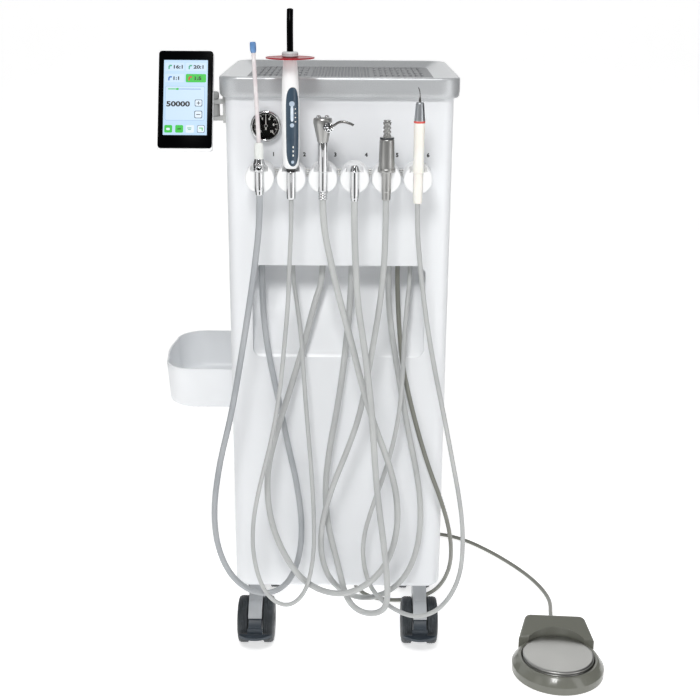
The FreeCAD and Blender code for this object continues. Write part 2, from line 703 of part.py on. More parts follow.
# ---------------------------------------------------------------- holders
def instrument_holders():
    """Round cradles, each with an upright channel that grips an instrument and a seat above it."""
    out = []
    for x in HOLDER_X:
        length = HOLDER_FRONT - BAR_T / 2
        disc = rod(HOLDER_R, length, V(x, FRONT - HOLDER_FRONT, HOLDER_Z), Y_AXIS)
        rim = edges_where(disc, lambda e: e.BoundBox.YMax < FRONT - HOLDER_FRONT + 0.01)
        disc = disc.makeFillet(3.0, rim)
        back = block(x - 30, x + 30, FRONT - BAR_T, FRONT, HOLDER_Z - 30, HOLDER_Z + 30)
        neck = rod(9, BAR_T + 1, V(x, FRONT - BAR_T - 1, HOLDER_Z - 6), Y_AXIS)
        below_bar = block(x - 30, x + 30, FRONT - 30, FRONT, HOLDER_Z - 30, BAR_Z - BAR_H / 2)
        disc = disc.cut(back).fuse(neck.common(below_bar))
        channel = rod(SHANK_R + SHANK_PLAY, 60, V(x, INSTRUMENT_Y, HOLDER_Z - 30))
        mouth = SHANK_R - 0.1
        gap = block(x - mouth, x + mouth, INSTRUMENT_Y - 20, INSTRUMENT_Y, HOLDER_Z - 30, HOLDER_Z + 30)
        seat = rod(SEAT_R, 40, V(x, INSTRUMENT_Y, SEAT_Z))
        out.append(disc.cut([channel, gap, seat]).removeSplitter())
    return out


def holder_bar():
    """Bar across the front that the holders hang on, with a collar beside each one."""
    bar = block(-BAR_W / 2, BAR_W / 2, FRONT - BAR_T, FRONT, BAR_Z - BAR_H / 2, BAR_Z + BAR_H / 2)
    front = FRONT - BAR_T + 0.1
    ends = edges_where(bar, lambda e: e.BoundBox.ZLength > BAR_H - 0.1 and e.BoundBox.YMin < front)
    return bar.makeFillet(3, ends)


# ---------------------------------------------------------------- gauge
def gauge_case():
    r = GAUGE_R
    top = GAUGE_BACK + GAUGE_OUT
    profile = [
        (0, 0), (GAUGE_STEM_R, 0), (GAUGE_STEM_R, GAUGE_BACK), (r, GAUGE_BACK), (r, top - 2),
        (r - 1.5, top), (r - 3.2, top), (r - 3.6, top - GAUGE_DIAL_IN), (0, top - GAUGE_DIAL_IN),
    ]
    case = turned(profile, V(GAUGE_X, FRONT + GAUGE_BACK, GAUGE_Z), V(0, -1, 0))
    dial = FRONT - GAUGE_OUT + GAUGE_DIAL_IN
    spigot = rod(GAUGE_PIN_R, 1.6, V(GAUGE_X, dial - 1.6, GAUGE_Z), Y_AXIS)
    return case.fuse(spigot).removeSplitter()


def gauge_pointer():
    y = FRONT - GAUGE_OUT + GAUGE_DIAL_IN - 1.4
    x = GAUGE_X
    z = GAUGE_Z
    hub = rod(2.2, 0.8, V(x, y, z), Y_AXIS).cut(rod(GAUGE_PIN_R + RUN_GAP, 2, V(x, y - 0.5, z), Y_AXIS))
    outline = [V(x - 0.9, y, z - 5), V(x + 0.9, y, z - 5), V(x + 0.25, y, z + 13), V(x - 0.25, y, z + 13)]
    needle = prism(outline, V(0, 0.8, 0))
    hole = rod(2.0, 2, V(x, y - 0.5, z), Y_AXIS)
    return needle.cut(hole).fuse(hub).removeSplitter()


# ---------------------------------------------------------------- display
SCREEN_Y = FRONT + SCREEN_BACK
TILT_PIVOT = V(SCREEN_X, SCREEN_Y + 22, SCREEN_Z - 16)
ARM_PIN_Y = FRONT + ARM_PIN_BACK


def leaned(shape):
    """From upright about the middle of the screen to its lean."""
    out = shape.copy()
    out.rotate(V(0, 0, 0), X_AXIS, -SCREEN_TILT)
    out.translate(V(SCREEN_X, SCREEN_Y, SCREEN_Z))
    return out


def display_case():
    """White shell of the display, with two ears behind that turn on the arm's axle."""
    w = SCREEN_W
    h = SCREEN_H
    case = block(-w / 2, w / 2, GLASS_T, SCREEN_T, -h / 2 - 3, h / 2)
    case = case.makeFillet(4, edges_where(case, lambda e: e.BoundBox.YLength > SCREEN_T - GLASS_T - 0.01))
    case = case.makeFillet(2.5, edges_where(case, lambda e: e.BoundBox.YMin > SCREEN_T - 0.01))
    case = leaned(case)
    for side in (-1, 1):
        x = SCREEN_X + side * 11 - 2
        ear = rod(6, 4, V(x, TILT_PIVOT.y, TILT_PIVOT.z), X_AXIS)
        root = prism(
            [
                V(x, TILT_PIVOT.y - 9, TILT_PIVOT.z + 8),
                V(x, TILT_PIVOT.y + 5, TILT_PIVOT.z + 3),
                V(x, TILT_PIVOT.y + 2, TILT_PIVOT.z - 5.5),
                V(x, TILT_PIVOT.y - 15, TILT_PIVOT.z - 8),
            ],
            V(4, 0, 0),
        )
        bore = rod(3 + RUN_GAP, 6, V(x - 1, TILT_PIVOT.y, TILT_PIVOT.z), X_AXIS)
        case = case.fuse(ear.fuse(root)).cut(bore)
    return case.removeSplitter()


def display_glass():
    w = SCREEN_W
    h = SCREEN_H
    glass = block(-w / 2 + 0.4, w / 2 - 0.4, 0, GLASS_T, -h / 2 + 0.4, h / 2 - 0.4)
    glass = glass.makeFillet(3.5, edges_where(glass, lambda e: e.BoundBox.YLength > GLASS_T - 0.01))
    return leaned(glass)


def display_bracket():
    """Plate on the left wall with two knuckles and the upright pin that the arm turns on."""
    plate = block(-SIDE - 4, -SIDE, ARM_PIN_Y - 16, ARM_PIN_Y + 16, ARM_Z - 8, ARM_Z + ARM_H + 11)
    bracket = plate
    for z in (ARM_Z - 6, ARM_Z + ARM_H + 0.5):
        knuckle = block(ARM_PIN_X, -SIDE - 2, ARM_PIN_Y - 8, ARM_PIN_Y + 8, z, z + 5.5)
        knuckle = knuckle.fuse(rod(8, 5.5, V(ARM_PIN_X, ARM_PIN_Y, z)))
        bracket = bracket.fuse(knuckle)
    pin = rod(ARM_PIN_R, ARM_H + 14, V(ARM_PIN_X, ARM_PIN_Y, ARM_Z - 4))
    profile = [(0, 0), (7, 0), (8.5, 2), (8.5, 8), (6.5, 10), (0, 10)]
    knob = turned(profile, V(ARM_PIN_X, ARM_PIN_Y, ARM_Z + ARM_H + 6))
    return bracket.fuse([pin, knob]).removeSplitter()


def display_arm():
    """Arm from the upright pin to the level axle behind the display."""
    z0 = ARM_Z
    z1 = ARM_Z + ARM_H
    hub = rod(9, ARM_H, V(ARM_PIN_X, ARM_PIN_Y, z0))
    reach = [
        V(ARM_PIN_X, ARM_PIN_Y - 6, z0),
        V(ARM_PIN_X, ARM_PIN_Y + 6, z0),
        V(SCREEN_X - 4, TILT_PIVOT.y + 14, z0),
        V(SCREEN_X - 4, TILT_PIVOT.y + 5, z0),
    ]
    beam = prism(reach, V(0, 0, ARM_H))
    tongue_w = 2 * (11 - 2 - SLIDE_GAP)
    x0 = SCREEN_X - tongue_w / 2
    x1 = SCREEN_X + tongue_w / 2
    y = TILT_PIVOT.y
    tongue = block(x0, x1, y - 4, y + 12, z0, z1)
    eye = rod(6.5, tongue_w, V(x0, y, TILT_PIVOT.z), X_AXIS)
    clear = block(SCREEN_X - 14, SCREEN_X + 14, y - 20, y + 9, z0 - 1, z1 + 20)
    clear = clear.cut(block(x0, x1, y - 30, y + 30, z0 - 2, z1 + 30))
    axle = rod(3, 30, V(SCREEN_X - 15, y, TILT_PIVOT.z), X_AXIS)
    bore = rod(ARM_PIN_R + RUN_GAP, ARM_H + 2, V(ARM_PIN_X, ARM_PIN_Y, z0 - 1))
    arm = hub.fuse([beam, tongue, eye]).cut(clear).cut(bore)
    return arm.fuse(axle).removeSplitter()


# ---------------------------------------------------------------- side cup
def cup_outline(out, length, z):
    """D-shaped outline: straight at the wall, bowed to the outside with round corners."""
    x0 = -SIDE - CUP_GAP
    x1 = x0 - out
    y0 = CUP_Y - length / 2
    y1 = CUP_Y + length / 2
    r = CUP_ROUND * out
    s = r * (1 - math.sqrt(0.5))
    bow = CUP_BOW
    edges = [
        Part.makeLine(V(x0, y1, z), V(x0, y0, z)),
        Part.makeLine(V(x0, y0, z), V(x1 + r, y0, z)),
        Part.Arc(V(x1 + r, y0, z), V(x1 + s, y0 + s, z), V(x1 + bow, y0 + r + bow, z)).toShape(),
        Part.Arc(V(x1 + bow, y0 + r + bow, z), V(x1, CUP_Y, z), V(x1 + bow, y1 - r - bow, z)).toShape(),
        Part.Arc(V(x1 + bow, y1 - r - bow, z), V(x1 + s, y1 - s, z), V(x1 + r, y1, z)).toShape(),
        Part.makeLine(V(x1 + r, y1, z), V(x0, y1, z)),
    ]
    return Part.Wire(edges)


def side_cup():
    """Open cup hung on the left wall by two moulded studs."""
    low = CUP_RIM_Z - CUP_H
    out_low = CUP_OUT - CUP_DRAFT
    length_low = CUP_L - 2 * CUP_DRAFT
    walls = 2 * CUP_WALL
    ends = [cup_outline(out_low, length_low, low), cup_outline(CUP_OUT, CUP_L, CUP_RIM_Z)]
    outer = Part.makeLoft(ends, True, True)
    outer = outer.makeFillet(5, [e for e in level_edges(outer, low) if e.BoundBox.XMin < -SIDE - CUP_GAP - 1])
    inner_low = cup_outline(out_low - walls, length_low - walls, low + CUP_WALL)
    inner_top = cup_outline(CUP_OUT - walls, CUP_L - walls, CUP_RIM_Z + 1)
    inner = Part.makeLoft([inner_low, inner_top], True, True)
    inner.translate(V(-CUP_WALL, 0, 0))
    cup = outer.cut(inner)
    for side in (-1, 1):
        y = CUP_Y + side * CUP_STUD_PITCH / 2
        z = CUP_RIM_Z - 14
        start = -SIDE - CUP_GAP
        neck = rod(CUP_STUD_R, CUP_GAP + WALL + 1, V(start, y, z), X_AXIS)
        head = rod(CUP_STUD_HEAD_R, 2, V(start + CUP_GAP + WALL + 0.5, y, z), X_AXIS)
        cup = cup.fuse([neck, head])
    return cup.removeSplitter()


# ---------------------------------------------------------------- casters
def caster_places():
    return {
        "front_left": (-CASTER_X, CASTER_FRONT_Y),
        "front_right": (CASTER_X, CASTER_FRONT_Y),
        "rear_left": (-CASTER_X, CASTER_REAR_Y),
        "rear_right": (CASTER_X, CASTER_REAR_Y),
    }


def caster_mounts():
    """Round plates under the cabinet, each with a sleeve up through the floor and the base plate."""
    out = []
    for x, y in caster_places().values():
        low = CAB_BOTTOM - MOUNT_T
        plate = turned([(0, 0), (MOUNT_R - 2, 0), (MOUNT_R, 2), (MOUNT_R, MOUNT_T), (0, MOUNT_T)], V(x, y, low))
        sleeve = rod(MOUNT_SLEEVE_R, PLATE_TOP + 4 - low, V(x, y, low))
        bore = rod(SPINDLE_R + RUN_GAP, SPINDLE_TOP, V(x, y, low - 1))
        out.append(plate.fuse(sleeve).cut(bore).removeSplitter())
    return out


def caster_hood(x, y, braked):
    """The caster's body between its wheels, with the spindle above and the axle through it."""
    ay = y - CASTER_TRAIL
    half = HOOD_W / 2
    web = rod(HOOD_R, HOOD_W, V(x - half, ay, WHEEL_R), X_AXIS)
    low = WHEEL_R - 13
    web = web.common(block(x - half, x + half, ay - 2 * HOOD_R, ay + 2 * HOOD_R, low, 200))
    hub_low = low + 40
    hub_top = CAB_BOTTOM - MOUNT_T - HOOD_PLAY
    hub_l = hub_top - hub_low
    r = MOUNT_R - 0.5
    hub = turned([(0, 0), (r - 2, 0), (r, 8), (r, hub_l), (0, hub_l)], V(x, y, hub_low))
    side = [
        (y - r + 1, hub_top), (y + r - 3, hub_top), (y + r - 2, low + 38), (ay, low + 38), (ay - 10, low + 50),
    ]
    shoulder = prism([V(x - half, a, b) for a, b in side], V(HOOD_W, 0, 0))
    neck = low + 62
    hood = web.fuse([hub.common(block(x - half, x + half, y - 40, y + 40, 0, neck + 6)), shoulder])
    hood = hood.fuse(rod(r, hub_top - neck, V(x, y, neck)))
    if braked:
        py = ay + BRAKE_PIVOT_Y
        room = block(x - half - 1, x + half + 1, ay - 60, ay - 8.5, 0, BRAKE_PIVOT_Z + 6)
        tongue = block(x - 4, x + 4, py - 2, ay - 8, BRAKE_PIVOT_Z - 6, BRAKE_PIVOT_Z + 6)
        tongue = tongue.fuse(rod(6, 8, V(x - 4, py, BRAKE_PIVOT_Z), X_AXIS))
        hood = hood.cut(room).fuse(tongue)
        hood = hood.cut(rod(BRAKE_PIN_R + RUN_GAP, 30, V(x - 15, py, BRAKE_PIVOT_Z), X_AXIS))
    axle_l = WHEEL_SPACE + 2 * WHEEL_W - 4
    axle = rod(AXLE_R, axle_l, V(x - axle_l / 2, ay, WHEEL_R), X_AXIS)
    spindle = rod(SPINDLE_R, SPINDLE_TOP - hub_top + 1, V(x, y, hub_top - 1))
    return hood.fuse([axle, spindle]).removeSplitter()


def caster_wheels(x, y):
    """Two wheels with domed covers that turn on one axle."""
    ay = y - CASTER_TRAIL
    out = []
    r = WHEEL_R
    w = WHEEL_W
    bore = AXLE_R + RUN_GAP
    profile = [
        (bore, 0), (r - 3, 0), (r - 0.6, 1.5), (r, 4), (r, w - 6), (r - 1.5, w - 3), (r - 5, w - 0.8),
        (r - 9, w), (r - 12, w - 2), (r - 22, w - 1), (bore, w - 1),
    ]
    for side in (-1, 1):
        wheel = turned(profile, V(x + side * WHEEL_SPACE / 2, ay, WHEEL_R), V(side, 0, 0))
        out.append(wheel)
    return out


def caster_brake(x, y):
    """Foot lever between the wheels, with a wide rounded pad in front of them."""
    ay = y - CASTER_TRAIL
    half = BRAKE_W / 2
    py = ay + BRAKE_PIVOT_Y
    out = WHEEL_R + BRAKE_PAD_GAP
    low = WHEEL_R - BRAKE_PAD_DOWN
    side = [
        (-10.5, low + 23.5), (-14, low + 26.1), (9 - out, low + 25.7), (3 - out, low + 20.5),
        (-out, low + 11.5), (-out - 1.2, low + 4), (-out - 1.2, low), (3 - out, low),
        (4.5 - out, low + 9.5), (10 - out, low + 14.5), (-12, low + 15.5),
    ]
    lever = prism([V(x - half, ay + a, b) for a, b in side], V(BRAKE_W, 0, 0))
    left = V(x - BRAKE_PAD_W / 2, ay - out, low)
    right = V(x + BRAKE_PAD_W / 2, ay - out, low)
    tip = V(x, ay - out - BRAKE_PAD_REACH, low)
    rim = [Part.makeLine(left, right), Part.Arc(right, tip, left).toShape()]
    pad = Part.Face(Part.Wire(rim)).extrude(V(0, 0, BRAKE_PAD_T))
    slot = block(x - 4.4, x + 4.4, py - 7, ay, BRAKE_PIVOT_Z - 15, BRAKE_PIVOT_Z + 15)
    pin = rod(BRAKE_PIN_R, BRAKE_W, V(x - half, py, BRAKE_PIVOT_Z), X_AXIS)
    return lever.fuse(pad).cut(slot).fuse(pin).removeSplitter()


# ---------------------------------------------------------------- foot control
def pedal_turned(shape):
    return turned_by(shape, PEDAL_YAW, V(PEDAL_X, PEDAL_Y, 0))


def pedal_plan(front, low, high):
    """The block behind the disc: it narrows to a back with round corners, between two heights."""
    narrow = (PEDAL_HOOD_W - PEDAL_HOOD_BACK_W) / 2 / (PEDAL_HOOD_BACK - PEDAL_HOOD_FRONT)
    wide = PEDAL_HOOD_W / 2 + narrow * (PEDAL_HOOD_FRONT - front)
    back = PEDAL_HOOD_BACK_W / 2
    y0 = PEDAL_Y + front
    y1 = PEDAL_Y + PEDAL_HOOD_BACK
    plan = [V(PEDAL_X + x, y, low) for x, y in ((-wide, y0), (wide, y0), (back, y1), (-back, y1))]
    solid = prism(plan, V(0, 0, high - low))
    corners = edges_where(solid, lambda e: e.BoundBox.ZLength > high - low - 0.1 and e.BoundBox.YMin > y1 - 0.1)
    return solid.makeFillet(PEDAL_HOOD_CORNER, corners)


PEDAL_SHOULDER = [
    (PEDAL_R, PEDAL_SKIRT_H), (PEDAL_R - 8, PEDAL_H - 1), (PEDAL_R - 9.5, PEDAL_H),
    (PEDAL_WELL_R, PEDAL_H - 0.5),
]


def pedal_base():
    """Round base with a sloping shoulder and a well for the disc, and a sleeve for its stem."""
    sleeve = PEDAL_STEM_R + 4
    bore = PEDAL_STEM_R + RUN_GAP
    profile = [(0, 0), (PEDAL_R - 1.5, 0), (PEDAL_R, 1.5)] + PEDAL_SHOULDER
    profile += [(PEDAL_WELL_R, PEDAL_WELL_Z), (sleeve, PEDAL_WELL_Z), (sleeve, PEDAL_WELL_Z + 3)]
    profile += [(bore, PEDAL_WELL_Z + 3), (bore, 3), (0, 3)]
    base = turned(profile, V(PEDAL_X, PEDAL_Y, 0))
    foot = pedal_plan(18, 0, PEDAL_SKIRT_H)
    foot = foot.cut(rod(PEDAL_R - 4, 60, V(PEDAL_X, PEDAL_Y, -1)))
    return pedal_turned(base.fuse(foot).removeSplitter())


def pedal_hood():
    """Raised cover behind the disc that houses the air valve; the hose goes in at its back."""
    hood = pedal_plan(PEDAL_HOOD_FRONT, PEDAL_SKIRT_H, PEDAL_HOOD_H)
    y0 = PEDAL_Y + PEDAL_HOOD_FRONT - 1
    y1 = PEDAL_Y + PEDAL_HOOD_BACK + 1
    x = PEDAL_X - 100
    side = [V(x, y0, PEDAL_HOOD_LOW_H), V(x, y1, PEDAL_HOOD_H), V(x, y1, 90), V(x, y0, 90)]
    hood = hood.cut(prism(side, V(200, 0, 0)))
    hood = hood.makeFillet(3.5, edges_where(hood, lambda e: e.BoundBox.ZMin > PEDAL_HOOD_LOW_H - 3))
    room = [(0, -1), (PEDAL_R, -1)] + PEDAL_SHOULDER + [(PEDAL_WELL_R, 80), (0, 80)]
    return pedal_turned(hood.cut(turned(room, V(PEDAL_X, PEDAL_Y, 0))))


def pedal_disc():
    z = PEDAL_DISC_Z
    r = PEDAL_DISC_R
    t = PEDAL_DISC_T
    profile = [
        (0, z - 11), (PEDAL_STEM_R, z - 11), (PEDAL_STEM_R, z), (r - 1, z), (r, z + 1), (r, z + t - 3),
        (r - 2.5, z + t - 0.6), (r - 5, z + t), (0, z + t),
    ]
    return pedal_turned(turned(profile, V(PEDAL_X, PEDAL_Y, 0)))


# ---------------------------------------------------------------- instruments
def instrument(index, profile):
    """A turned instrument in one holder; the profile is (radius, height above the floor)."""
    return turned(profile, V(HOLDER_X[index], INSTRUMENT_Y, 0))


SEATED = SEAT_Z + 0.2


EJECTOR_TUBE_R = 2.7
EJECTOR_VALVE = V(HOLDER_X[0], INSTRUMENT_Y, 733.5)
VALVE_STEM_R = 3.6


def ejector_body():
    """Chrome valve body with a pale grip above it that the disposable tube plugs into."""
    s = SHANK_R
    profile = [
        (0, 697), (s - 1.4, 697), (s - 0.7, 703), (s, 709), (s, SEATED), (7.4, SEATED), (7.4, 738),
        (6.2, 741), (5.6, 743),
        (5.8, 760), (5.2, 763), (0, 763),
    ]
    body = instrument(0, profile)
    x = HOLDER_X[0]
    seat = rod(VALVE_STEM_R + RUN_GAP, 6.5, V(x, INSTRUMENT_Y - 9, EJECTOR_VALVE.z), Y_AXIS)
    socket = rod(EJECTOR_TUBE_R + RUN_GAP, 12, V(x, INSTRUMENT_Y, 755))
    return body.cut([seat, socket])


def ejector_valve():
    """Thumb valve that turns in the front of the ejector body."""
    face = EJECTOR_VALVE - V(0, 7.5, 0)
    stem = rod(VALVE_STEM_R, 4.8, face, Y_AXIS)
    head = turned([(0, 0), (4.6, 0), (4.6, 1.6), (3.8, 2.6), (0, 2.6)], face, V(0, -1, 0))
    slot = block(face.x - 3.5, face.x + 3.5, face.y - 3.5, face.y - 1.5, face.z - 0.6, face.z + 0.6)
    return stem.fuse(head).cut(slot).removeSplitter()


def ejector_tube():
    """Disposable saliva tube, leaning a little, with its soft tip."""
    x = HOLDER_X[0]
    bend = V(x, INSTRUMENT_Y, 768)
    lean = V(-5.5, 2, 116)
    tube = polyline_pipe([V(x, INSTRUMENT_Y, 755), bend, bend + lean], EJECTOR_TUBE_R)
    tip = turned([(0, 0), (3.6, 0), (4.1, 2), (4.1, 11), (3.2, 13), (0, 13)], bend + lean * 0.9, lean)
    return tube.fuse(tip).removeSplitter()


CURING_BUTTON_Z = 812.0
CURING_TURN = 12.0      # the keys face a little to the right of the front
CURING_TOP = 866.0
GUIDE_PLUG_R = 4.2
SHIELD_T = 1.2


def curing_turned(shape):
    return turned_by(shape, CURING_TURN, V(HOLDER_X[1], INSTRUMENT_Y, 0))


def curing_body():
    """White handle of the curing light, on the plated end of its cable."""
    s = SHANK_R
    profile = [
        (0, 692), (s - 0.8, 692), (s, 695), (s, SEATED), (s + 0.6, SEATED), (s + 1, 731), (9.6, 735),
        (10.6, 745), (11, 775), (11, 815), (10.2, 838), (8.8, 858), (8.0, CURING_TOP), (0, CURING_TOP),
    ]
    body = instrument(1, profile)
    x = HOLDER_X[1]
    flat = block(x - 20, x + 20, INSTRUMENT_Y - 30, INSTRUMENT_Y - 10.2, 740, 834)
    seat = rod(3.6, 6, V(x, INSTRUMENT_Y - 12, CURING_BUTTON_Z), Y_AXIS)
    socket = rod(GUIDE_PLUG_R + RUN_GAP, 11, V(x, INSTRUMENT_Y, CURING_TOP - 10))
    return body.cut([curing_turned(flat), curing_turned(seat), socket])


def curing_guide():
    """Bent light guide that plugs into the handle through its collar."""
    x = HOLDER_X[1]
    y = INSTRUMENT_Y
    low = CURING_TOP + SHIELD_T
    plug = rod(GUIDE_PLUG_R, low + 2 - (CURING_TOP - 10), V(x, y, CURING_TOP - 10))
    profile = [(0, low), (9.5, low), (10.2, low + 1.8), (10.2, low + 4.8), (9, low + 6.8), (0, low + 6.8)]
    collar = turned(profile, V(x, y, 0))
    foot = low + 5
    bend = Part.Arc(V(x, y, 898), V(x, y + 1.4, 911), V(x, y + 7, 923)).toShape()
    path = Part.Wire([Part.makeLine(V(x, y, foot), V(x, y, 898)), bend])
    section = Part.Wire([Part.makeCircle(4.0, V(x, y, foot), Z_AXIS)])
    rod_part = path.makePipeShell([section], True, False)
    return plug.fuse([collar, rod_part]).removeSplitter()


def curing_shield():
    """Round orange-red glare shield, held between the handle and the guide's collar."""
    bore = GUIDE_PLUG_R + RUN_GAP
    low = CURING_TOP
    high = CURING_TOP + SHIELD_T
    profile = [(bore, low), (30, low), (30.4, (low + high) / 2), (30, high), (bore, high)]
    return turned(profile, V(HOLDER_X[1], INSTRUMENT_Y, 0))


def curing_button():
    x = HOLDER_X[1]
    return curing_turned(rod(3.4, 4.0, V(x, INSTRUMENT_Y - 11.4, CURING_BUTTON_Z), Y_AXIS))


SYRINGE_HEAD_Z = 764.0
NOZZLE_Z = 784.0


NOZZLE_OUT = V(0.5, -math.sqrt(0.75), 0)     # the nut faces the front, turned to the right
NOZZLE_SEAT = 9.4       # from the axis to the flat that the nut turns on
NOZZLE_R = 1.9
BUTTON_X = 5.2          # buttons left and right of the axis
BUTTON_R = 2.8
BUTTON_LOW = 788.5


def syringe_body():
    """Polished handle with a conical head, bored for the nozzle and the two buttons."""
    s = SHANK_R
    profile = [
        (0, 692), (s - 0.8, 692), (s, 694), (s, SEATED), (s + 0.3, SEATED), (s + 0.3, SYRINGE_HEAD_Z),
        (s + 0.9, SYRINGE_HEAD_Z + 1),
        (11.8, 788), (11.8, 792), (10.8, 794), (0, 794),
    ]
    body = instrument(2, profile)
    axis = V(HOLDER_X[2], INSTRUMENT_Y, 0)
    start = axis + NOZZLE_OUT * NOZZLE_SEAT + V(0, 0, NOZZLE_Z)
    cuts = [rod(5 + RUN_GAP, 10, start, NOZZLE_OUT)]
    for side in (-1, 1):
        cuts.append(rod(BUTTON_R + 0.3, 12, axis + V(side * BUTTON_X, 0, BUTTON_LOW - 3)))
    return body.cut(cuts)


def syringe_nozzle():
    """Bent nozzle in a knurled nut, which turns in the head."""
    seat = V(HOLDER_X[2], INSTRUMENT_Y, NOZZLE_Z) + NOZZLE_OUT * (NOZZLE_SEAT + 0.2)
    nut = turned([(0, 0), (5, 0), (5, 3.2), (5.6, 3.2), (5.6, 6.4), (4, 8), (0, 8)], seat, NOZZLE_OUT)
    start = seat + NOZZLE_OUT * 5
    rise = seat + NOZZLE_OUT * 13 + V(0, 0, 1)
    top = rise + V(13, -2.5, 10)
    end = top + V(14, -1, -7)
    return nut.fuse(polyline_pipe([start, rise, top, end], NOZZLE_R)).removeSplitter()


def syringe_button(side):
    r = BUTTON_R
    low = BUTTON_LOW
    profile = [(0, low), (r, low), (r, low + 8), (r - 0.8, low + 8.8), (0, low + 8.8)]
    return turned(profile, V(HOLDER_X[2] + side * BUTTON_X, INSTRUMENT_Y, 0))


COUPLING_TOP = 735.0
COUPLING_BORE_R = 3.4
COUPLING_BORE_L = 6.5


def high_speed_coupling():
    """Coupling of the high-speed handpiece: a ribbed barrel with the bore for the handpiece."""
    s = SHANK_R
    low = COUPLING_TOP - COUPLING_BORE_L
    profile = [
        (0, 690), (s - 1, 690), (s - 0.4, 693), (s, 697), (s, SEATED), (s + 0.4, SEATED), (s + 0.4, 728.6),
        (4.7, 734),
        (4.4, COUPLING_TOP), (COUPLING_BORE_R, COUPLING_TOP), (COUPLING_BORE_R, low), (0, low),
    ]
    return instrument(3, profile)


MOTOR_NOSE_R = 4.9


def air_motor():
    """Low-speed motor with the ringed nose that contra-angles clip on."""
    s = SHANK_R
    nose = MOTOR_NOSE_R
    profile = [
        (0, 692), (s - 1, 692), (s - 0.4, 694), (s - 0.4, 702), (s, 703), (s, SEATED), (10.6, SEATED),
        (10.6, 731), (9.3, 769), (8.6, 771), (nose, 771),
    ]
    for i in range(4):
        z = 771.0 + 5.0 * i
        profile += [(nose, z + 3.4), (nose - 0.8, z + 3.9), (nose - 0.8, z + 4.6), (nose, z + 5.0)]
    profile += [(nose - 0.5, 792), (0, 792)]
    return instrument(4, profile)


def scaler_body():
    """Ivory grip of the ultrasonic scaler with its grey cone and red ring."""
    s = SHANK_R - 0.2
    profile = [
        (0, 688), (s - 0.6, 688), (s - 0.2, 690), (s, 704), (s, SEATED), (7.3, SEATED), (7.5, 760), (7.8, 786),
        (7.9, 790), (7.7, 792), (5.6, 812), (4.9, 814), (0, 814),
    ]
    body = instrument(5, profile)
    return body.cut(rod(1.5 + RUN_GAP, 8, V(HOLDER_X[5], INSTRUMENT_Y, 807)))


def scaler_tip():
    x = HOLDER_X[5]
    y = INSTRUMENT_Y
    shank = turned([(0, 807), (1.5, 807), (1.5, 816), (1.0, 820), (0, 820)], V(x, y, 0))
    hook = polyline_pipe([V(x, y, 818), V(x, y, 823), V(x - 0.6, y, 828), V(x - 2.4, y, 832)], 0.6)
    return shank.fuse(hook).removeSplitter()


# ---------------------------------------------------------------- hoses
def rounded_path(points):
    """Straight runs joined by tangent arcs, as large as the two runs allow. Returns the wire and the radii."""
    edges = []
    radii = []
    at = points[0]
    for before, corner, after in zip(points, points[1:], points[2:]):
        back = before - corner
        ahead = after - corner
        reach = 0.45 * min(back.Length, ahead.Length)
        back.normalize()
        ahead.normalize()
        start = corner + back * reach
        end = corner + ahead * reach
        half_turn = (math.pi - back.getAngle(ahead)) / 2
        radius = reach / math.tan(half_turn)
        inward = back + ahead
        inward.normalize()
        middle = corner + inward * (radius / math.cos(half_turn) - radius)
        edges.append(Part.LineSegment(at, start).toShape())
        edges.append(Part.Arc(start, middle, end).toShape())
        radii.append(radius)
        at = end
    edges.append(Part.LineSegment(at, points[-1]).toShape())
    return Part.Wire(edges), radii


def polyline_pipe(points, radius):
    wire, _ = rounded_path(points)
    section = Part.Wire([Part.makeCircle(radius, points[0], points[1] - points[0])])
    return wire.makePipeShell([section], True, False)


def hose(name, route):
    """One hose as a solid round tube along its route, given as (x, distance behind the front, z)."""
    points = [V(x, FRONT + back, z) for x, back, z in route]
    wire, radii = rounded_path(points)
    diameter = HOSE_D[name]
    section = Part.Wire([Part.makeCircle(diameter / 2, points[0], points[1] - points[0])])
    tube = wire.makePipeShell([section], True, False)
    share = tube.Volume / (math.pi * diameter**2 / 4 * wire.Length)
    print(
        "%s: length %.0f mm, smallest radius %.0f mm (%.1f diameters), volume over section times length %.4f"
        % (name, wire.Length, min(radii), min(radii) / diameter, share)
    )
    print("   radii", " ".join("%.0f" % r for r in radii))
    return tube


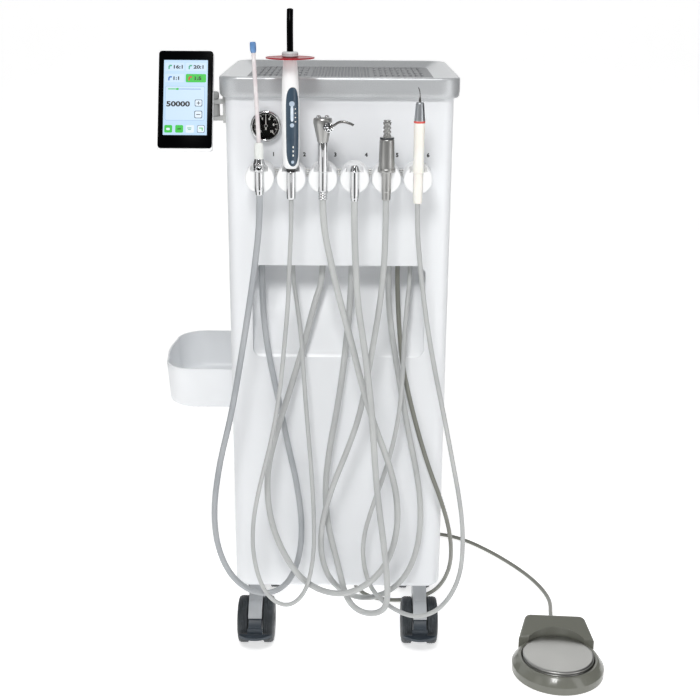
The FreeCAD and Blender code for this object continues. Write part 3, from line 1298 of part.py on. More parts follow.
# ---------------------------------------------------------------- build
def main():
    os.makedirs("parts", exist_ok=True)
    save("cabinet_shell", cabinet_shell())
    save("base_plate", base_plate())
    save("caster_mounts", *caster_mounts())
    save("equipment_shelf", equipment_shelf())
    save("top_tray", top_tray())
    save("tray_mat", tray_mat())
    save("rear_panel", rear_panel())
    save("panel_screws", *panel_screws())
    save("power_inlet", power_inlet())
    save("power_switch", power_switch())
    save("compressor", compressor())
    save("air_tank", air_tank())
    save("water_bottle", water_bottle())
    save("control_board", control_board())
    save("valve_manifold", valve_manifold())
    save("hose_glands", *hose_glands())
    save("holder_bar", holder_bar())
    save("instrument_holders", *instrument_holders())
    save("gauge_case", gauge_case())
    save("gauge_pointer", gauge_pointer())
    save("display_bracket", display_bracket())
    save("display_arm", display_arm())
    save("display_case", display_case())
    save("display_glass", display_glass())
    save("side_cup", side_cup())
    for place, (x, y) in caster_places().items():
        braked = place.startswith("front")
        save("caster_hood_" + place, caster_hood(x, y, braked))
        save("caster_wheels_" + place, *caster_wheels(x, y))
        if braked:
            save("caster_brake_" + place, caster_brake(x, y))
    save("pedal_base", pedal_base())
    save("pedal_hood", pedal_hood())
    save("pedal_disc", pedal_disc())
    save("ejector_body", ejector_body())
    save("ejector_tube", ejector_tube())
    save("ejector_valve", ejector_valve())
    save("curing_light_body", curing_body())
    save("curing_light_guide", curing_guide())
    save("curing_light_shield", curing_shield())
    save("curing_light_button", curing_button())
    save("syringe_body", syringe_body())
    save("syringe_nozzle", syringe_nozzle())
    save("syringe_air_button", syringe_button(-1))
    save("syringe_water_button", syringe_button(1))
    save("high_speed_coupling", high_speed_coupling())
    save("air_motor", air_motor())
    save("scaler_body", scaler_body())
    save("scaler_tip", scaler_tip())
    for name, route in ROUTES.items():
        save(name, hose(name, route))
    print("origin step", ORIGIN_STEP)


main()
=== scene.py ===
"""Portable dental unit: its looks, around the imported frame.

Metres, in the frame's own axes: +X to the right of the front, +Y to the back, +Z up from the floor.
Routes, profiles, slabs and finishes are given in millimetres; so are other sizes that * MM follows.
"""

import bmesh
import bpy
import json
import math
from mathutils import Matrix, Vector


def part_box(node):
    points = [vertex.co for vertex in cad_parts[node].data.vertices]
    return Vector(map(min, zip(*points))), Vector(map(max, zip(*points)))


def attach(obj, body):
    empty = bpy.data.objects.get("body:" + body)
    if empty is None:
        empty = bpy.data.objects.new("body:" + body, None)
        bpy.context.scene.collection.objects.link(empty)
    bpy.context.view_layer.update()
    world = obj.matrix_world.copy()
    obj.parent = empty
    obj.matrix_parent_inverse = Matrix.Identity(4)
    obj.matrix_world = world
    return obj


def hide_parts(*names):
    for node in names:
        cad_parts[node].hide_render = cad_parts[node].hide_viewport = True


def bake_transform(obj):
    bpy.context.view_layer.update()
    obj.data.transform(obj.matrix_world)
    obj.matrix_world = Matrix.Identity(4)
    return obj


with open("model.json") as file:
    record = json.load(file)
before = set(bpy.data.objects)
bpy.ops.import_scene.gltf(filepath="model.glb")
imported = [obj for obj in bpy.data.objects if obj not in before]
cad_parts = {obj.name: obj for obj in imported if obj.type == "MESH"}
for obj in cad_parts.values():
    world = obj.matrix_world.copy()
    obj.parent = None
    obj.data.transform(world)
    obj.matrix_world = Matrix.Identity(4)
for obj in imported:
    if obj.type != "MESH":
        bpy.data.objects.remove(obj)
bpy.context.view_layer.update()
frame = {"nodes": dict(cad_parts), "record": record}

# ---------------------------------------------------------------- places, worked out from the frame
MM = 0.001
NODES = frame["nodes"]
BODY_OF = {node: body for body, members in frame["record"]["behaviour"]["bodies"].items() for node in members}
X_AXIS, Y_AXIS, Z_AXIS = Vector((1, 0, 0)), Vector((0, 1, 0)), Vector((0, 0, 1))
FACING_FRONT = Matrix.Rotation(math.radians(90), 4, "X")     # stands a flat piece up, facing the front
shift = Matrix.Translation


def corners(node):
    """The low and the high corner of a node's box."""
    low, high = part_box(node)
    return Vector(low), Vector(high)


def middle(node):
    low, high = corners(node)
    return (low + high) / 2


MID_X = middle("cabinet_shell").x
FRONT = corners("cabinet_shell")[0].y


def spot(x, back, z):
    """A place given from the cabinet's middle line, its front face and the floor."""
    return Vector((MID_X + x, FRONT + back, z))


# ---------------------------------------------------------------- hoses: what each one is
# Control points as (x, distance behind the front face, z) in millimetres, from the instrument to the gland in
# the recess, and for the foot control's hose from its gland to the foot control.
ROUTES = {
    "ejector_hose": [
        (-100, -52, 697), (-100, -52, 665), (-107, -54, 607), (-115, -56, 555), (-126, -56, 489),
        (-142, -56, 401), (-160, -56, 331), (-170, -56, 260), (-165, -54, 200), (-144, -49, 151),
        (-108, -43, 126), (-73, -37, 135), (-54, -29, 173), (-49, -25, 227), (-57, -19, 289),
        (-69, -15, 343), (-77, -13, 386), (-87, -13, 437), (-96, -11, 485), (-102, 4, 533), (-104, 22, 569),
        (-104, 22, 598),
    ],
    "curing_light_cable": [
        (-60, -52, 692), (-60, -52, 660), (-63, -53, 607), (-65, -56, 555), (-70, -58, 501),
        (-77, -60, 433), (-88, -62, 370), (-106, -64, 300), (-116, -66, 246), (-115, -68, 192),
        (-100, -68, 141), (-71, -64, 118), (-45, -58, 135), (-33, -51, 183), (-32, -45, 245),
        (-36, -39, 317), (-42, -35, 391), (-46, -31, 447), (-49, -22, 497), (-56, -4, 545), (-62, 22, 571),
        (-62, 22, 598),
    ],
    "syringe_hose": [
        (-20, -52, 692), (-20, -52, 660), (-8, -55, 604), (3, -58, 558), (17, -60, 508), (32, -62, 446),
        (49, -62, 390), (68, -62, 340), (81, -60, 289), (83, -58, 237), (72, -56, 189), (48, -53, 153),
        (14, -50, 132), (-21, -48, 135), (-51, -46, 154), (-73, -44, 188), (-89, -42, 227), (-97, -39, 272),
        (-96, -36, 318), (-84, -30, 367), (-69, -24, 414), (-55, -16, 459), (-43, -7, 500), (-32, 5, 543),
        (-22, 22, 569), (-22, 22, 598),
    ],
    "high_speed_hose": [
        (20, -52, 690), (20, -52, 658), (22, -60, 613), (25, -66, 559), (33, -72, 511), (40, -74, 460),
        (46, -75, 402), (50, -75, 341), (55, -74, 285), (63, -72, 227), (69, -69, 172), (71, -61, 120),
        (54, -52, 102), (29, -43, 102), (12, -38, 121), (2, -35, 166), (-14, -29, 229), (-18, -22, 281),
        (-12, -19, 339), (-1, -16, 398), (7, -15, 457), (13, -3, 512), (17, 22, 567), (17, 22, 598),
    ],
    "motor_hose": [
        (60, -52, 692), (60, -52, 660), (59, -52, 607), (54, -50, 552), (46, -47, 497), (38, -45, 447),
        (29, -44, 397), (14, -44, 350), (-7, -44, 295), (-21, -43, 244), (-24, -40, 196), (-15, -31, 152),
        (7, -24, 122), (38, -21, 109), (71, -20, 118), (98, -19, 144), (114, -20, 191), (117, -20, 250),
        (109, -19, 308), (96, -18, 367), (84, -18, 432), (73, -12, 494), (67, 4, 541), (67, 22, 569),
        (67, 22, 598),
    ],
    "scaler_hose": [
        (100, -52, 688), (100, -52, 656), (105, -52, 607), (112, -52, 553), (120, -53, 505),
        (130, -54, 455), (142, -55, 401), (155, -55, 338), (168, -54, 274), (174, -52, 222),
        (173, -50, 170), (161, -47, 130), (139, -44, 101), (109, -41, 91), (77, -38, 104), (49, -35, 129),
        (36, -32, 170), (36, -29, 212), (49, -27, 259), (64, -26, 304), (76, -27, 351), (84, -29, 403),
        (87, -27, 454), (88, -18, 500), (92, 0, 543), (96, 22, 569), (96, 22, 598),
    ],
    "pedal_hose": [
        (79, 22, 598), (79, 22, 571), (80, 12, 540), (82, -2, 507), (86, -9, 464), (96, -10, 416),
        (110, -11, 362), (127, -11, 307), (143, -9, 265), (158, 12, 213), (167, 46, 161), (171, 94, 104),
        (165, 136, 54), (150, 157, 23), (120, 164, 7), (82, 166, 3.2), (47, 179, 3.2), (26, 212, 3.2),
        (23, 256, 3.2), (34, 301, 3.2), (60, 345, 3.2), (96, 382, 3.2), (137, 408, 3.2), (181, 409, 3.2),
        (223, 385, 3.2), (261, 342, 3.2), (292, 297, 3.2), (317, 252, 3.2), (332, 212, 3.2),
        (339, 178, 3.2), (337, 146, 8), (332, 116, 14), (328, 87, 18), (326, 58, 18),
    ],
}
# Each hose's diameter and length in metres, the body that it hangs from, and its finish.
HOSES = {
    "ejector_hose": (0.0082, 1.110, "ejector", "suction"),
    "curing_light_cable": (0.0058, 1.099, "curing_light", "hose"),
    "syringe_hose": (0.0085, 1.140, "syringe", "hose"),
    "high_speed_hose": (0.0085, 1.138, "high_speed", "hose"),
    "motor_hose": (0.0080, 1.158, "motor", "hose"),
    "scaler_hose": (0.0063, 1.191, "scaler", "hose"),
    "pedal_hose": (0.0062, 1.484, None, "olive"),
}


def route(hose):
    return [spot(*(c * MM for c in point)) for point in ROUTES[hose]]


def axis_of(hose):
    """The upright axis of the instrument that a hose feeds, at the floor."""
    x, back, _ = ROUTES[hose][0]
    return spot(x * MM, back * MM, 0)


# ---------------------------------------------------------------- node trees
def linear(colour):
    """sRGB hex to the linear values that a shader takes."""
    parts = [int(colour[i : i + 2], 16) / 255 for i in (1, 3, 5)]
    return [c / 12.92 if c <= 0.04045 else ((c + 0.055) / 1.055) ** 2.4 for c in parts] + [1.0]


def add_node(tree, kind, inputs=None, **settings):
    """Adds a node with its settings; an input takes a value, or the output that feeds it."""
    node = tree.nodes.new(kind)
    for name, value in settings.items():
        setattr(node, name, value)
    for name, value in (inputs or {}).items():
        if isinstance(value, bpy.types.NodeSocket):
            tree.links.new(value, node.inputs[name])
        else:
            node.inputs[name].default_value = value
    return node


MIX_FIRST, MIX_OTHER, MIX_COLOUR_OUT = 6, 7, 2     # a Mix node's colour sockets
NOISE_LOW, NOISE_HIGH = 0.3, 0.7                   # most of a noise lies between these


class Finish:
    """A material being made, with patterns in the object's own coordinates, sized in millimetres."""

    def __init__(self, name, colour, roughness, **sockets):
        self.material = bpy.data.materials.new(name)
        self.material.use_nodes = True
        self.tree = self.material.node_tree
        self.shader = self.tree.nodes["Principled BSDF"]
        for socket, value in {"Base_Color": colour, "Roughness": roughness, **sockets}.items():
            value = linear(value) if isinstance(value, str) else value
            self.shader.inputs[socket.replace("_", " ")].default_value = value
        self.place = add_node(self.tree, "ShaderNodeTexCoord").outputs["Object"]

    def uneven(self, size, stretch=(1, 1, 1), centre=(0, 0, 0), detail=3.0):
        """Patches of about that size, drawn out along the axes whose stretch is under one."""
        back = [-c * s for c, s in zip(centre, stretch)]
        inputs = {"Vector": self.place, "Location": back, "Scale": stretch}
        put = add_node(self.tree, "ShaderNodeMapping", inputs)
        inputs = {"Vector": put.outputs[0], "Scale": 1 / (size * MM), "Detail": detail}
        return add_node(self.tree, "ShaderNodeTexNoise", inputs).outputs[0]

    def grained(self, size, depth, strength=0.4, **where):
        """Lifts the surface in grains of that size and depth."""
        inputs = {"Height": self.uneven(size, **where), "Distance": depth * MM, "Strength": strength}
        lifted = add_node(self.tree, "ShaderNodeBump", inputs).outputs[0]
        self.tree.links.new(lifted, self.shader.inputs["Normal"])
        return self

    def worn(self, size, low, high, **where):
        """Lets the roughness drift from low to high in patches of that size."""
        span = {"From Min": NOISE_LOW, "From Max": NOISE_HIGH, "To Min": low, "To Max": high}
        inputs = {"Value": self.uneven(size, **where), **span}
        drift = add_node(self.tree, "ShaderNodeMapRange", inputs).outputs[0]
        self.tree.links.new(drift, self.shader.inputs["Roughness"])
        return self

    def clouded(self, size, other, low=0.35, high=0.65, **where):
        """Lets the colour drift to another in patches of that size."""
        inputs = {"Value": self.uneven(size, **where), "From Min": low, "From Max": high}
        share = add_node(self.tree, "ShaderNodeMapRange", inputs).outputs[0]
        colour = self.shader.inputs["Base Color"]
        inputs = {"Factor": share, MIX_FIRST: list(colour.default_value), MIX_OTHER: linear(other)}
        mixed = add_node(self.tree, "ShaderNodeMix", inputs, data_type="RGBA").outputs[MIX_COLOUR_OUT]
        self.tree.links.new(mixed, colour)
        return self


# ---------------------------------------------------------------- mesh building
MERGE = 1e-6          # points closer than this are one
SHARP = 38            # degrees; edges sharper than this aren't shaded smooth
CORNER_SHARE = 0.4    # the most of a side that the rounding of its corner takes


def put_in_scene(name, data):
    thing = bpy.data.objects.new(name, data)
    bpy.context.scene.collection.objects.link(thing)
    return thing


def smoothed(mesh, sharp):
    """Smooth shading, except at edges sharper than that many degrees."""
    mesh.shade_smooth()
    mesh.set_sharp_from_angle(angle=math.radians(sharp))
    return mesh


def finished_mesh(made, name, sharp=SHARP, closed=True):
    """A mesh from a bmesh: doubles merged, faces outwards, smooth."""
    bmesh.ops.remove_doubles(made, verts=made.verts, dist=MERGE)
    if closed:
        bmesh.ops.recalc_face_normals(made, faces=made.faces)
    mesh = bpy.data.meshes.new(name)
    made.to_mesh(mesh)
    made.free()
    return smoothed(mesh, sharp)


def plain_mesh(thing):
    """The mesh that an object's curve or modifiers make."""
    bpy.context.view_layer.update()
    return bpy.data.meshes.new_from_object(thing.evaluated_get(bpy.context.evaluated_depsgraph_get()))


def baked(thing):
    """The plain mesh of an object, which is removed."""
    mesh = plain_mesh(thing)
    bpy.data.objects.remove(thing)
    return mesh


def placed(mesh, matrix):
    mesh.transform(matrix)
    return mesh


def finished_in(mesh, finish):
    mesh.materials.append(FINISH[finish])
    return mesh


def add_piece(name, shape, finish, body, slot, *nodes, sharp=SHARP):
    """Puts a piece in the scene with its finish, the body it moves with and the nodes it stands for.

    Its shape is a bmesh, or a mesh that may have its finishes already.
    """
    mesh = finished_mesh(shape, name, sharp) if isinstance(shape, bmesh.types.BMesh) else shape
    if not mesh.materials:
        finished_in(mesh, finish)
    thing = put_in_scene(name, mesh)
    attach(thing, body)
    if nodes:
        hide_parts(*nodes)
    return thing


def joined(name, meshes):
    """One mesh from several, each with its own materials kept."""
    things = [put_in_scene(name, mesh) for mesh in meshes]
    with bpy.context.temp_override(active_object=things[0], selected_editable_objects=things):
        bpy.ops.object.join()
    mesh = things[0].data
    bpy.data.objects.remove(things[0])
    mesh.name = name
    return mesh


def softened(profile, reach):
    """Rounds each corner of a (radius, height) profile over a small reach, so that it catches the light."""
    points = [Vector(p) for p in profile]
    out = [points[0]]
    for before, corner, after in zip(points, points[1:], points[2:]):
        back = before - corner
        ahead = after - corner
        cut = min(reach, CORNER_SHARE * back.length, CORNER_SHARE * ahead.length)
        start = corner + back.normalized() * cut
        end = corner + ahead.normalized() * cut
        out += [start, (start + 2 * corner + end) / 4, end]
    return out + [points[-1]]


def loft(rings, caps=(True, True), made=None):
    """Joins rings of equally many points, each to the next, and caps the ends."""
    made = made or bmesh.new()
    rows = [[made.verts.new(p) for p in ring] for ring in rings]
    count = len(rows[0])
    for low, high in zip(rows, rows[1:]):
        for i in range(count):
            k = (i + 1) % count
            made.faces.new((low[i], low[k], high[k], high[i]))
    if caps[0]:
        made.faces.new(list(reversed(rows[0])))
    if caps[1]:
        made.faces.new(rows[-1])
    return made


ALMOST_ZERO = 0.0005     # radius of a pole in millimetres, before its doubles are merged


def lathe(profile, centre, axis=Z_AXIS, steps=72, soft=0.35, made=None):
    """Turns a (radius, height) profile about an axis; one that ends where it began has no caps."""
    turn = Z_AXIS.rotation_difference(Vector(axis)).to_matrix()
    angles = [2 * math.pi * i / steps for i in range(steps)]
    rings = []
    for radius, height in softened(profile, soft):
        r, z = max(radius, ALMOST_ZERO) * MM, height * MM
        ring = [Vector((r * math.cos(angle), r * math.sin(angle), z)) for angle in angles]
        rings.append([Vector(centre) + turn @ point for point in ring])
    open_ended = profile[0] != profile[-1]
    return loft(rings, (open_ended, open_ended), made)


def repeated(part, count, first, pitch, widening=0.0):
    """A stretch of profile that comes back at each pitch, a little wider or narrower each time."""
    return [(r + widening * i, first + pitch * i + z) for i in range(count) for r, z in part]


def round_rect(width, depth, radius, centre, steps=10):
    """Points round a rectangle with round corners."""
    points = []
    for i, (sx, sy) in enumerate([(1, 1), (-1, 1), (-1, -1), (1, -1)]):
        corner = Vector(centre) + Vector((sx * (width / 2 - radius), sy * (depth / 2 - radius), 0))
        for k in range(steps + 1):
            angle = math.pi / 2 * (i + k / steps)
            points.append(corner + Vector((math.cos(angle), math.sin(angle), 0)) * radius)
    return points


def slab(width, depth, radius, low, high, edge, steps=10, at=(0, 0, 0), made=None):
    """A flat block with round corners and softened rims, from its low to its high face over a place."""
    bit = 0.3 * edge
    foot = [(low, edge), (low + bit, bit), (low + edge, 0)]
    top = [(high - edge, 0), (high - bit, bit), (high, edge)]
    rings = []
    for z, inset in foot + top:
        size = ((width - 2 * inset) * MM, (depth - 2 * inset) * MM)
        rings.append(round_rect(*size, (radius - inset) * MM, Vector(at) + Z_AXIS * z * MM, steps))
    return loft(rings, made=made)


EDGE_ANGLE = 32     # degrees; a CAD node's edges sharper than this are rounded
FLAT_ANGLE = 0.6    # degrees; faces that meet more flatly than this are one
NODE_MERGE = 2e-6


def softened_node(node, width, finish, slot, segments=2):
    """A merged copy of a CAD node, its edges rounded over that many millimetres; it stands for the node."""
    made = bmesh.new()
    made.from_mesh(NODES[node].data)
    bmesh.ops.remove_doubles(made, verts=made.verts, dist=NODE_MERGE)
    bmesh.ops.dissolve_limit(made, angle_limit=math.radians(FLAT_ANGLE), verts=made.verts, edges=made.edges)
    mesh = bpy.data.meshes.new(node + "_finish")
    made.to_mesh(mesh)
    made.free()
    thing = add_piece(node + "_finish", smoothed(mesh, EDGE_ANGLE), finish, BODY_OF[node], slot, node)
    bevel = thing.modifiers.new("edges", "BEVEL")
    bevel.width = width * MM
    bevel.segments = segments
    bevel.limit_method = "ANGLE"
    bevel.angle_limit = math.radians(EDGE_ANGLE)
    bevel.harden_normals = True
    bevel.use_clamp_overlap = True


# ---------------------------------------------------------------- camera, floor and light
CAMERA_AHEAD = 1.575      # in front of the cabinet's front face
CAMERA_RIGHT = 0.0157
CAMERA_HEIGHT = 0.9715
CAMERA_DOWN = 17.45       # degrees
CAMERA_ROLL = 0.4         # degrees
LENS_SHARE = 1215 / 700   # focal length over the picture's width
SENSOR = 36.0
ROOM_LIGHT = 0.18         # how bright the room lights the object
ROOM_SEEN = 0.8           # how bright the room looks past the floor's edge
FLOOR_GLOW = 0.62
FLOOR_HALF_WIDTH = 9.0
FLOOR_AHEAD = 7.0
SWEEP_FROM = 5.0          # where the floor starts to rise into the wall
SWEEP_RADIUS = 2.0
SWEEP_STEPS = 12
WALL_TOP = 7.0
AIM = (0, 0.1, 0.55)
# Each lamp's place and aim by spot, its width and height, and its power.
LAMPS = {
    "key_light": ((-0.25, -1.8, 2.35), AIM, 0.6, 0.6, 30),
    "left_strip": ((-1.45, -1.15, 1.0), AIM, 0.45, 1.9, 2.2),
    "right_strip": ((1.45, -1.0, 1.0), AIM, 0.45, 1.9, 5),
    "top_light": ((0.1, -0.75, 2.7), (0, 0, 0.7), 0.35, 0.35, 7),
    "back_light": ((0.4, 2.2, 2.2), AIM, 2.0, 1.4, 4),
}
# The corners of each black card by spot.
CARDS = {
    "front_card": [(-0.8, -4.6, 0.004), (0.8, -4.6, 0.004), (0.45, -1.4, 0.004), (-0.45, -1.4, 0.004)],
    "left_card": [(-1.15, -0.1, 0.02), (-1.15, 1.3, 0.02), (-1.15, 1.3, 1.2), (-1.15, -0.1, 1.2)],
    "right_card": [(1.15, -0.1, 0.02), (1.15, 1.3, 0.02), (1.15, 1.3, 1.2), (1.15, -0.1, 1.2)],
}


def set_camera():
    camera = put_in_scene("camera", bpy.data.cameras.new("camera"))
    camera.data.sensor_width = SENSOR
    camera.data.lens = LENS_SHARE * SENSOR
    camera.location = spot(CAMERA_RIGHT, -CAMERA_AHEAD, CAMERA_HEIGHT)
    tilt = Matrix.Rotation(math.radians(90 - CAMERA_DOWN), 3, "X")
    roll = Matrix.Rotation(math.radians(CAMERA_ROLL), 3, "Z")
    camera.rotation_euler = (tilt @ roll).to_euler()
    bpy.context.scene.camera = camera


def staged(name, made, finish, sharp=SHARP):
    """Puts something that isn't part of the object in the scene."""
    mesh = finished_mesh(made, name, sharp, closed=False)
    mesh.materials.append(finish.material)
    thing = put_in_scene(name, mesh)
    return thing


def studio_floor():
    """A pale floor, lit a little from beneath, that sweeps up behind into a wall."""
    profile = [(-FLOOR_AHEAD, 0.0)]
    for i in range(SWEEP_STEPS + 1):
        angle = math.pi / 2 * i / SWEEP_STEPS
        ahead, up = math.sin(angle), 1 - math.cos(angle)
        profile.append((SWEEP_FROM + SWEEP_RADIUS * ahead, SWEEP_RADIUS * up))
    profile.append((SWEEP_FROM + SWEEP_RADIUS, WALL_TOP))
    made = bmesh.new()
    rows = [[made.verts.new((x, y, z)) for x in (-FLOOR_HALF_WIDTH, FLOOR_HALF_WIDTH)] for y, z in profile]
    for a, b in zip(rows, rows[1:]):
        made.faces.new((a[0], a[1], b[1], b[0]))
    glow = {"Emission_Color": "#ffffff", "Emission_Strength": FLOOR_GLOW}
    acrylic = Finish("matt_white_studio_acrylic", "#f4f4f4", 0.9, Specular_IOR_Level=0.1, **glow)
    staged("studio_floor", made, acrylic, sharp=60)


def black_cards():
    """Black cards that only bright metal mirrors, as dark lines along its edges."""
    for name, places in CARDS.items():
        made = bmesh.new()
        made.faces.new([made.verts.new(spot(*place)) for place in places])
        card = staged(name, made, Finish("black_velvet_" + name, "#0b0b0c", 0.95, Specular_IOR_Level=0.05))
        card.visible_camera = False
        card.visible_diffuse = False
        card.visible_shadow = False


def studio_light():
    """A pale room, a high soft box in front, and tall narrow boxes at the sides for long highlights."""
    world = bpy.data.worlds.new("studio")
    world.use_nodes = True
    tree = world.node_tree
    seen = add_node(tree, "ShaderNodeLightPath").outputs["Is Camera Ray"]
    inputs = {"Value": seen, "To Min": ROOM_LIGHT, "To Max": ROOM_SEEN}
    strength = add_node(tree, "ShaderNodeMapRange", inputs).outputs[0]
    tree.nodes["Background"].inputs["Color"].default_value = linear("#ffffff")
    tree.links.new(strength, tree.nodes["Background"].inputs["Strength"])
    bpy.context.scene.world = world
    bpy.context.scene.view_settings.view_transform = "Standard"
    for name, (place, aim, width, height, power) in LAMPS.items():
        data = bpy.data.lights.new(name, "AREA")
        data.shape = "RECTANGLE"
        data.size = width
        data.size_y = height
        data.energy = power
        lamp = put_in_scene(name, data)
        lamp.location = spot(*place)
        lamp.rotation_euler = (spot(*aim) - spot(*place)).to_track_quat("-Z", "Y").to_euler()


# ---------------------------------------------------------------- finishes
LATHE_RINGS = {"stretch": (0.02, 0.02, 1.0)}
BACKLIT = 0.85
# The backlit display's colours, and how strongly each one shines.
LIT_COLOURS = {
    "near_black": ("#05080c", 0.05), "pale_blue": ("#c2e0fb", BACKLIT), "line_blue": ("#8fb3dc", BACKLIT),
    "white_blue": ("#cfe7fc", BACKLIT), "slate": ("#3f5b73", 0.5), "white": ("#e6f3ff", BACKLIT),
    "green": ("#2cc63a", BACKLIT), "teal": ("#4bb08c", BACKLIT), "mid_blue": ("#3f78c8", BACKLIT),
    "red": ("#c9402c", BACKLIT),
}


